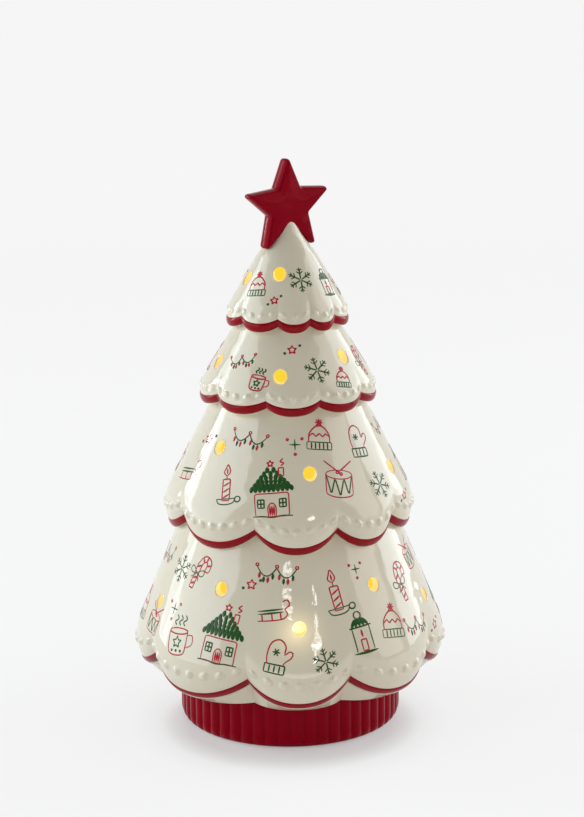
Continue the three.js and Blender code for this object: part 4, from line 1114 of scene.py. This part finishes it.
# %% Places of the drawings
# Drawing, angle, height, tilt and size, tier by tier from the top.
DRAWINGS = [
    [(cap, -40, 236, 8, 0.8), (snowflake, 19, 240, 0, 0.9), (speck, -14, 230.5, 10, 0.8),
     (lantern, 58, 236, -6, 0.75), (mitten, 85, 235, 8, 0.7), (cane, 140, 236, -10, 0.8),
     (snowflake, 200, 237, 0, 0.85), (mug, 236, 236, 8, 0.75), (speck, 266, 240, 0, 1)],
    [(lights, -40, 199, 14, 0.72), (mug, -22, 191, -8, 0.68), (snowflake, 23, 196, 10, 0.95),
     (cap, 42, 190, -12, 0.67), (cane, 72, 196, 10, 0.85), (speck, 4, 206, 0, 0.9),
     (candle, -90, 197, -8, 0.8), (lantern, 95, 197, 5, 0.8), (lights, 131.5, 199.5, 6, 0.6),
     (sled, 152, 192.5, 5, 0.7), (mitten, 190, 197, 5, 0.9), (drum, 214, 196, -8, 0.8),
     (snowflake, 250, 199, 5, 0.85)],
    [(sled, -66, 140, 10, 0.95), (speck, -58, 158, 0, 1.1), (candle, -33, 139, 12, 0.95),
     (lights, -26, 161, -6, 0.9), (house, -8.5, 137, 6, 0.83), (cap, 20, 162, -8, 0.95),
     (drum, 27, 141, -10, 1.1), (gem, 4, 160, 0, 1), (mitten, 47, 158, -6, 1), (snowflake, 52, 136, 10, 1),
     (lights, 84, 160, 8, 0.9), (lantern, 88, 137, -6, 1.05), (speck, 70, 126, 0, 1),
     (house, 112, 145, -4, 0.85), (mug, 137, 134, 6, 1), (cane, 158, 148, -8, 1.05),
     (snowflake, 177, 162, 0, 0.8), (candle, 175, 134, 8, 0.95), (cap, 206, 160, 5, 0.95),
     (house, 218, 138, 4, 0.83), (lights, 238, 164, -6, 0.9), (mitten, 268, 142, 6, 1)],
    [(cap, -84, 62, 8, 1.1), (lights, -80, 92, 8, 1), (drum, -67, 60.5, -6, 0.95),
     (snowflake, -58, 91, 0, 1), (gem, -54, 72, 0, 1.1), (mug, -47, 59, 8, 1.15),
     (cane, -46.5, 93, -12, 0.95), (house, -27, 63.5, -5, 0.88), (speck, -17, 91, 0, 1),
     (lights, -6, 96, -4, 0.95), (sled, -7.5, 78, 8, 0.85), (mitten, -5, 58, -10, 1.05),
     (snowflake, 13, 55, 12, 0.95), (candle, 20, 86, 8, 1.05), (lantern, 29, 64, 6, 1.1),
     (gem, 32, 96, 0, 0.9), (cap, 44, 66, -10, 1.05), (cane, 56, 84, 8, 1.05), (lights, 58, 61, -8, 0.95),
     (drum, 74, 92, 5, 0.95), (speck, 74, 55, 0, 1.1), (house, 94, 62, 5, 0.95), (mug, 97, 91, -6, 0.95),
     (snowflake, 112.5, 60, 5, 1), (mitten, 127, 70, 8, 1.1), (lights, 132, 93, 4, 0.95),
     (candle, 145, 59, -6, 1), (cane, 163, 70, 10, 1.1), (house, 184, 59, -4, 0.75), (cap, 168, 97, -4, 0.9),
     (lantern, 202, 72, -6, 1.1), (sled, 220, 60, 4, 1), (drum, 238, 82, 8, 1.1), (mug, 254, 57, -6, 0.95),
     (speck, 244, 60, 0, 1)],
]


def on_flank(number, degrees, height, tilt, scale, sheet, out):
    """Lays points of a flat sheet on a tier's flank and its beads, turned and lifted a little."""
    tier = TIERS[number]
    c, s = math.cos(math.radians(tilt)) * scale, math.sin(math.radians(tilt)) * scale
    across = sheet[..., 0] * c - sheet[..., 1] * s
    up = sheet[..., 0] * s + sheet[..., 1] * c
    slant = math.hypot(1, tier["flare"])
    level = height + up / slant
    turned = degrees + np.degrees(across / flank_at(number, degrees, level))
    out = out + beads_at(tier, turned, rise_for(number, level, wave_at(tier, turned)))
    return turned, flank_at(number, turned, level) + out / slant, level + out * tier["flare"] / slant


def ink_strip(path, width, scale):
    """Sheet points and lift of one stroke: six lines round its section, and a pole at each end."""
    ahead = np.gradient(path, axis=0)
    side = np.stack([-ahead[:, 1], ahead[:, 0]], -1)
    side /= np.maximum(np.linalg.norm(side, axis=1, keepdims=True), 1e-6)
    sheet = np.stack([path + side * width[:, None] * across / scale for across, _ in INK_SECTION])
    lift = np.repeat([up for _, up in INK_SECTION], PEN_POINTS)
    return np.vstack([sheet.reshape(-1, 2), path[[0, -1]]]), np.concatenate([lift, [0.01, 0.01]])


def strip_faces():
    """Squares round a stroke's section, and the two fans that close its ends."""
    lines, last = len(INK_SECTION), PEN_POINTS - 1
    rows = np.arange(lines) * PEN_POINTS
    beside = np.roll(rows, -1)
    pole = np.full(lines, lines * PEN_POINTS)
    fans = [np.stack([rows, beside, pole], -1), np.stack([beside + last, rows + last, pole + 1], -1)]
    return grid_faces(lines, PEN_POINTS, close_rows=True, close_columns=False)[:, ::-1], np.vstack(fans)


def print_mesh(number, ink):
    """All strokes of one ink on one tier. The nearest stroke to a light hole is measured too."""
    parts, gaps = [], []
    for drawing, degrees, height, tilt, size in DRAWINGS[number]:
        scale = size * DRAWING_SCALE
        for colour, path, width in drawing():
            if colour != ink:
                continue
            sheet, lift = ink_strip(path, width, scale)
            turned, radius, level = on_flank(number, degrees, height, tilt, scale, sheet, lift)
            parts.append((round_tree(radius, turned, level), *strip_faces()))
            for hole_degrees, hole_height in holes_of(number):
                off = (turned - hole_degrees + 180) % 360 - 180
                gaps.append(np.hypot(np.radians(off) * radius, level - hole_height).min() - HOLE_RADIUS)
    print(f"tier {number + 1}, {ink}: nearest stroke to a hole {min(gaps):.2f} mm")
    return merged_mesh(f"print_{ink}_{number + 1}", parts)


for number in range(len(TIERS)):
    for ink in (RED, GREEN):
        new_piece(f"print_{ink}_{number + 1}", print_mesh(number, ink), [finish[f"print_{ink}"]], "tree")

# %% [markdown]
# ## Star
#
# The star is cast solid. Its faces are nearly flat and swell a little towards the middle, its
# edges are narrow and round, and its arms end in small rounded tips. Each half is a grid that
# shrinks from the outline to the middle. The depth at a point follows from its distance to the
# outline: a quarter of an ellipse over the edge, and a slow swell after it.

# %% Star
STAR_TIP, STAR_NOTCH, STAR_LEG_NOTCH, STAR_THICKNESS = 25.0, 12.5, 9.6, 9.0
STAR_TIP_ROUND, STAR_EDGE_WIDTH, STAR_LEAN = 1.5, 1.7, 1.5
STAR_PUFF, STAR_PUFF_WIDTH = 0.07, 7.0
STAR_POINTS, STAR_TURN, STAR_SINK = 5, 33.0, 1.4
STAR_CENTRE = CONE_POINT - STAR_SINK
STAR_COLUMNS, STAR_RINGS, STAR_CROWDING, STAR_SOFTENING = 600, 26, 1.7, 24
STAR_ARC = np.linspace(-1.2, 1.2, 14)


def softened(values):
    """Each value of a closed row, averaged with its neighbours."""
    return (np.roll(values, 1, 0) + 2 * values + np.roll(values, -1, 0)) / 4


def star_outline():
    """Tips as arcs, straight edges between, then evenly spaced and softened a little."""
    half = math.pi / STAR_POINTS
    centre = STAR_TIP - STAR_TIP_ROUND
    corners = []
    for point in range(STAR_POINTS):
        axis = math.pi / 2 + math.radians(STAR_LEAN) + point * 2 * half
        reach = STAR_LEG_NOTCH if point == 2 else STAR_NOTCH
        turn = axis + STAR_ARC
        arc = np.stack([centre * math.cos(axis) + STAR_TIP_ROUND * np.cos(turn),
                        centre * math.sin(axis) + STAR_TIP_ROUND * np.sin(turn)], -1)
        notch = reach * np.array([[math.cos(axis + half), math.sin(axis + half)]])
        corners += [arc, notch]
    path = np.vstack(corners)
    path = even(np.vstack([path, path[:1]]), np.linspace(0, 1, STAR_COLUMNS, endpoint=False))
    for _ in range(3):
        path = softened(path)
    return path


def star_depth(flat, path):
    """Half the thickness at points of the star's plane, from their distance to the outline."""
    away = np.sqrt(((flat[:, None, :] - path[None, ::2, :]) ** 2).sum(-1)).min(1)
    share = np.clip(away / STAR_EDGE_WIDTH, 0, 1)
    edge = np.sqrt(1 - (1 - share) ** 2)
    swell = smooth_step(away / STAR_PUFF_WIDTH)
    return STAR_THICKNESS / 2 * ((1 - STAR_PUFF) * edge + STAR_PUFF * swell)


def star_mesh():
    """Rings from the middle of the back over the outline to the middle of the front."""
    path = star_outline()
    halves = []
    for share in 1 - np.linspace(0, 1, STAR_RINGS)[1:-1] ** STAR_CROWDING:
        depth = star_depth(path * share, path)
        for _ in range(int(STAR_SOFTENING * (1 - share)) + 1):
            depth = softened(depth)
        halves.append((path * share, depth))
    rings = [(flat, -depth) for flat, depth in halves[::-1]] + [(path, np.zeros(len(path)))] + halves
    flat, depth = (np.stack(rows) for rows in zip(*rings))
    count, columns = depth.shape
    points = np.stack([flat[..., 0], -depth, flat[..., 1]], -1).reshape(-1, 3)
    middle = float(depth.max())
    points = np.vstack([points, [[0, middle, 0], [0, -middle, 0]]])
    fans = np.vstack([pole_faces(0, columns, count * columns, False),
                      pole_faces((count - 1) * columns, columns, count * columns + 1, True)])
    c, s = math.cos(math.radians(STAR_TURN)), math.sin(math.radians(STAR_TURN))
    points = points @ np.array([[c, s, 0], [-s, c, 0], [0, 0, 1]]) + [0, 0, STAR_CENTRE]
    return new_mesh("star", points, grid_faces(count, columns)[:, ::-1], fans)


new_piece("star", star_mesh(), [finish["deep_red_glaze"]], "tree", ["star_topper"])

# %% [markdown]
# ## Fluted base
#
# The base is a red ring of close upright ribs, each a shallow arch. The ribs fade where the foot
# rounds under. The same grid runs on over the recess and the round opening for the light unit,
# the floor, the inner wall and the rim, so the base is one closed solid. Its inner wall has the
# same painted glow as the inside of the casting above it.

# %% Base
RIBS, RIB_DEPTH, STEPS_PER_RIB = 54, 1.1, 12
BASE_LIFT, BASE_FLOOR, FIT_GAP, FLANGE_THICKNESS = 0.6, 6.5, 0.3, 2
FOOT_TOP, FOOT_DROP, FOOT_INSET, BASE_CREASE = 6.5, 5.9, 2.2, 50
LIT_ROWS = 8
unit_low, unit_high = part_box("module_plate")
flange_radius = unit_high.x / MM
base_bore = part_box("seal_ring")[1].x / MM + FIT_GAP


def base_mesh():
    """One closed grid. Each row has a radius, a height and its share of the ribs' depth."""
    step = np.arange(RIBS * STEPS_PER_RIB)
    degrees = step * 360 / len(step)
    groove = RIB_DEPTH * (2 * (step % STEPS_PER_RIB / STEPS_PER_RIB) - 1) ** 2
    top = BASE_HEIGHT - FIT_GAP
    inner = BASE_RADIUS - RIB_DEPTH - CAST_WALL
    floor_top = BASE_LIFT + BASE_FLOOR
    recess_top = unit_low.z / MM + FLANGE_THICKNESS + FIT_GAP
    rows = [(BASE_RADIUS - 0.9, top, 0.2), (BASE_RADIUS - 0.35, top - 0.2, 0.6),
            (BASE_RADIUS, top - 0.8, 1.0)]
    rows += [(BASE_RADIUS, z, 1.0) for z in np.linspace(top - 2.5, FOOT_TOP, 8)]
    rows += [(BASE_RADIUS - FOOT_INSET * (1 - math.cos(turn)), FOOT_TOP - FOOT_DROP * math.sin(turn),
              math.cos(turn))
             for turn in np.radians((15, 30, 45, 60, 75, 88))]
    rows += [(flange_radius + 0.6, BASE_LIFT, 0), (flange_radius + FIT_GAP, BASE_LIFT + 0.3, 0),
             (flange_radius + FIT_GAP, recess_top, 0), (base_bore + 0.3, recess_top, 0),
             (base_bore, recess_top + 0.3, 0), (base_bore, floor_top - 0.4, 0),
             (base_bore + 0.4, floor_top, 0),
             (inner - 2, floor_top, 0), (inner - 0.5, floor_top + 0.5, 0), (inner, floor_top + 2, 0),
             (inner, top - 0.4, 0), (inner + 0.4, top, 0), (inner + 2.2, top, 0)]
    points = np.vstack([round_tree(radius - ribs * groove, degrees, z) for radius, z, ribs in rows])
    row = np.arange(len(rows))
    # The inner wall's rows, but not the top rim, take the painted glow.
    lit = (row >= len(rows) - LIT_ROWS) & (row < len(rows) - 1)
    return new_mesh("fluted_base", points, grid_faces(len(rows), len(degrees), close_rows=True),
                    marks=np.repeat(lit.astype(int), len(degrees)))


base = new_piece("fluted_base", base_mesh(), [finish["deep_red_glaze"], finish["bisque_with_painted_glow"]], "tree",
                 ["base_ring"])
base.data.set_sharp_from_angle(angle=math.radians(BASE_CREASE))

# %% [markdown]
# ## Light unit and feet
#
# The light unit is moulded plastic with small metal parts. Moulded plastic has no truly sharp
# edge, since a mould can't be cut that way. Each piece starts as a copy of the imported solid, has
# its flat triangles joined, and gets a fine bevel whose normals blend into the flat faces.

# %% Light unit
# Finish, width of the bevel in millimetres, and the pieces that have them.
LIGHT_UNIT = [
    ("white_plastic", 0.25, ["module_plate", "module_cover", "battery_door"]),
    ("clear_silicone", 0.0, ["seal_ring"]),
    ("black_plastic", 0.15, ["switch_body", "switch_slider"]),
    ("white_plastic", 0.2, ["led_holder"]), ("lamp_epoxy", 0.0, ["led_lamp"]),
    ("board_green", 0.1, ["led_board"]), ("resistor_tan", 0.1, ["resistor"]),
    ("red_sleeve", 0.0, ["wire_red"]), ("black_plastic", 0.0, ["wire_black", "wire_switch"]),
    ("steel", 0.05, ["contact_negative", "contact_positive", "contact_link_left", "contact_link_right"]),
    ("steel", 0.0, [f"battery_spring_{n}" for n in (1, 2, 3)]),
    ("steel", 0.1, [f"module_screw_{n}" for n in (1, 2, 3)]),
    ("grey_rubber", 0.3, [f"foot_pad_{n}" for n in (1, 2, 3, 4)]),
]
NODE_BODY = {"battery_door": "door", "switch_slider": "slider",
             **{f"foot_pad_{n}": "tree" for n in (1, 2, 3, 4)}}
WELD_METRES, FLAT_DEGREES, COPY_CREASE, BEVEL_FROM = 2e-6, 0.5, 32, 40


def fine_copy(node, material, bevel):
    """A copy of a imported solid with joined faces, a smooth shade and finely rounded edges."""
    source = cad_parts[node]
    mesh = source.data.copy()
    mesh.name = node
    mesh.transform(source.matrix_world)
    work = bmesh.new()
    work.from_mesh(mesh)
    bmesh.ops.remove_doubles(work, verts=work.verts, dist=WELD_METRES)
    bmesh.ops.dissolve_limit(work, angle_limit=math.radians(FLAT_DEGREES), verts=work.verts, edges=work.edges)
    work.to_mesh(mesh)
    work.free()
    mesh.materials.clear()
    mesh.polygons.foreach_set("use_smooth", np.ones(len(mesh.polygons), bool))
    mesh.set_sharp_from_angle(angle=math.radians(COPY_CREASE))
    piece = new_piece(f"{node}_fine", mesh, [material], NODE_BODY.get(node, "light_unit"), [node])
    if bevel:
        edge = piece.modifiers.new("edge", "BEVEL")
        edge.width = bevel * MM
        edge.segments = 2
        edge.limit_method = "ANGLE"
        edge.angle_limit = math.radians(BEVEL_FROM)
        edge.harden_normals = True


for name, bevel, nodes in LIGHT_UNIT:
    for node in nodes:
        fine_copy(node, finish[name], bevel)

# %% [markdown]
# ## Batteries
#
# An AAA cell is a steel can in a printed sleeve. One profile, turned about the cell's axis, gives
# the can, the sleeve's edge, the shoulder and the nub. The middle cell lies the other way round.

# %% Batteries
# Place along the axis, radius, and the finish of the strip that follows: steel, sleeve or band.
CELL_PROFILE = [(-19.7, 3.6, 0), (-19.8, 4.2, 0), (-19.7, 4.8, 0), (-19.4, 5.15, 1), (-18.9, 5.25, 1),
                (15.0, 5.25, 2), (22.6, 5.25, 1), (23.2, 5.1, 1), (23.4, 4.7, 0), (23.5, 2.2, 0),
                (23.6, 1.95, 0), (24.5, 1.9, 0), (24.7, 1.7, 0)]
CELL_SIDES, CELL_CREASE = 64, 40


def cell_mesh(name, low, high):
    """A turned profile along X, with the nub on the side that lies farther from the middle."""
    along, radius, strip = np.array(CELL_PROFILE).T
    side = 1 if high.x > -low.x else -1
    along = along * side
    angle = np.linspace(0, 2 * np.pi, CELL_SIDES, endpoint=False)
    _, y, z = (low + high) / 2 / MM
    grid = np.broadcast_arrays(along[:, None], y + radius[:, None] * np.cos(angle),
                               z + radius[:, None] * np.sin(angle))
    points = np.vstack([np.stack(grid, -1).reshape(-1, 3), [[along[0], y, z], [along[-1], y, z]]])
    last = (len(along) - 1) * CELL_SIDES
    quads = grid_faces(len(along), CELL_SIDES)
    fans = np.vstack([pole_faces(0, CELL_SIDES, last + CELL_SIDES, True),
                      pole_faces(last, CELL_SIDES, last + CELL_SIDES + 1, False)])
    if side > 0:
        quads, fans = quads[:, ::-1], fans[:, ::-1]
    marks = np.concatenate([np.repeat(strip[:-1], CELL_SIDES), np.zeros(len(fans))])
    return new_mesh(name, points, quads, fans, marks)


cell_materials = [finish["steel"], finish["cell_sleeve"], finish["cell_band"]]
for number in (1, 2, 3):
    low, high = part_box(f"battery_{number}")
    cell = new_piece(f"battery_{number}_fine", cell_mesh(f"cell_{number}", low, high), cell_materials,
                     "light_unit", [f"battery_{number}"])
    cell.data.set_sharp_from_angle(angle=math.radians(CELL_CREASE))
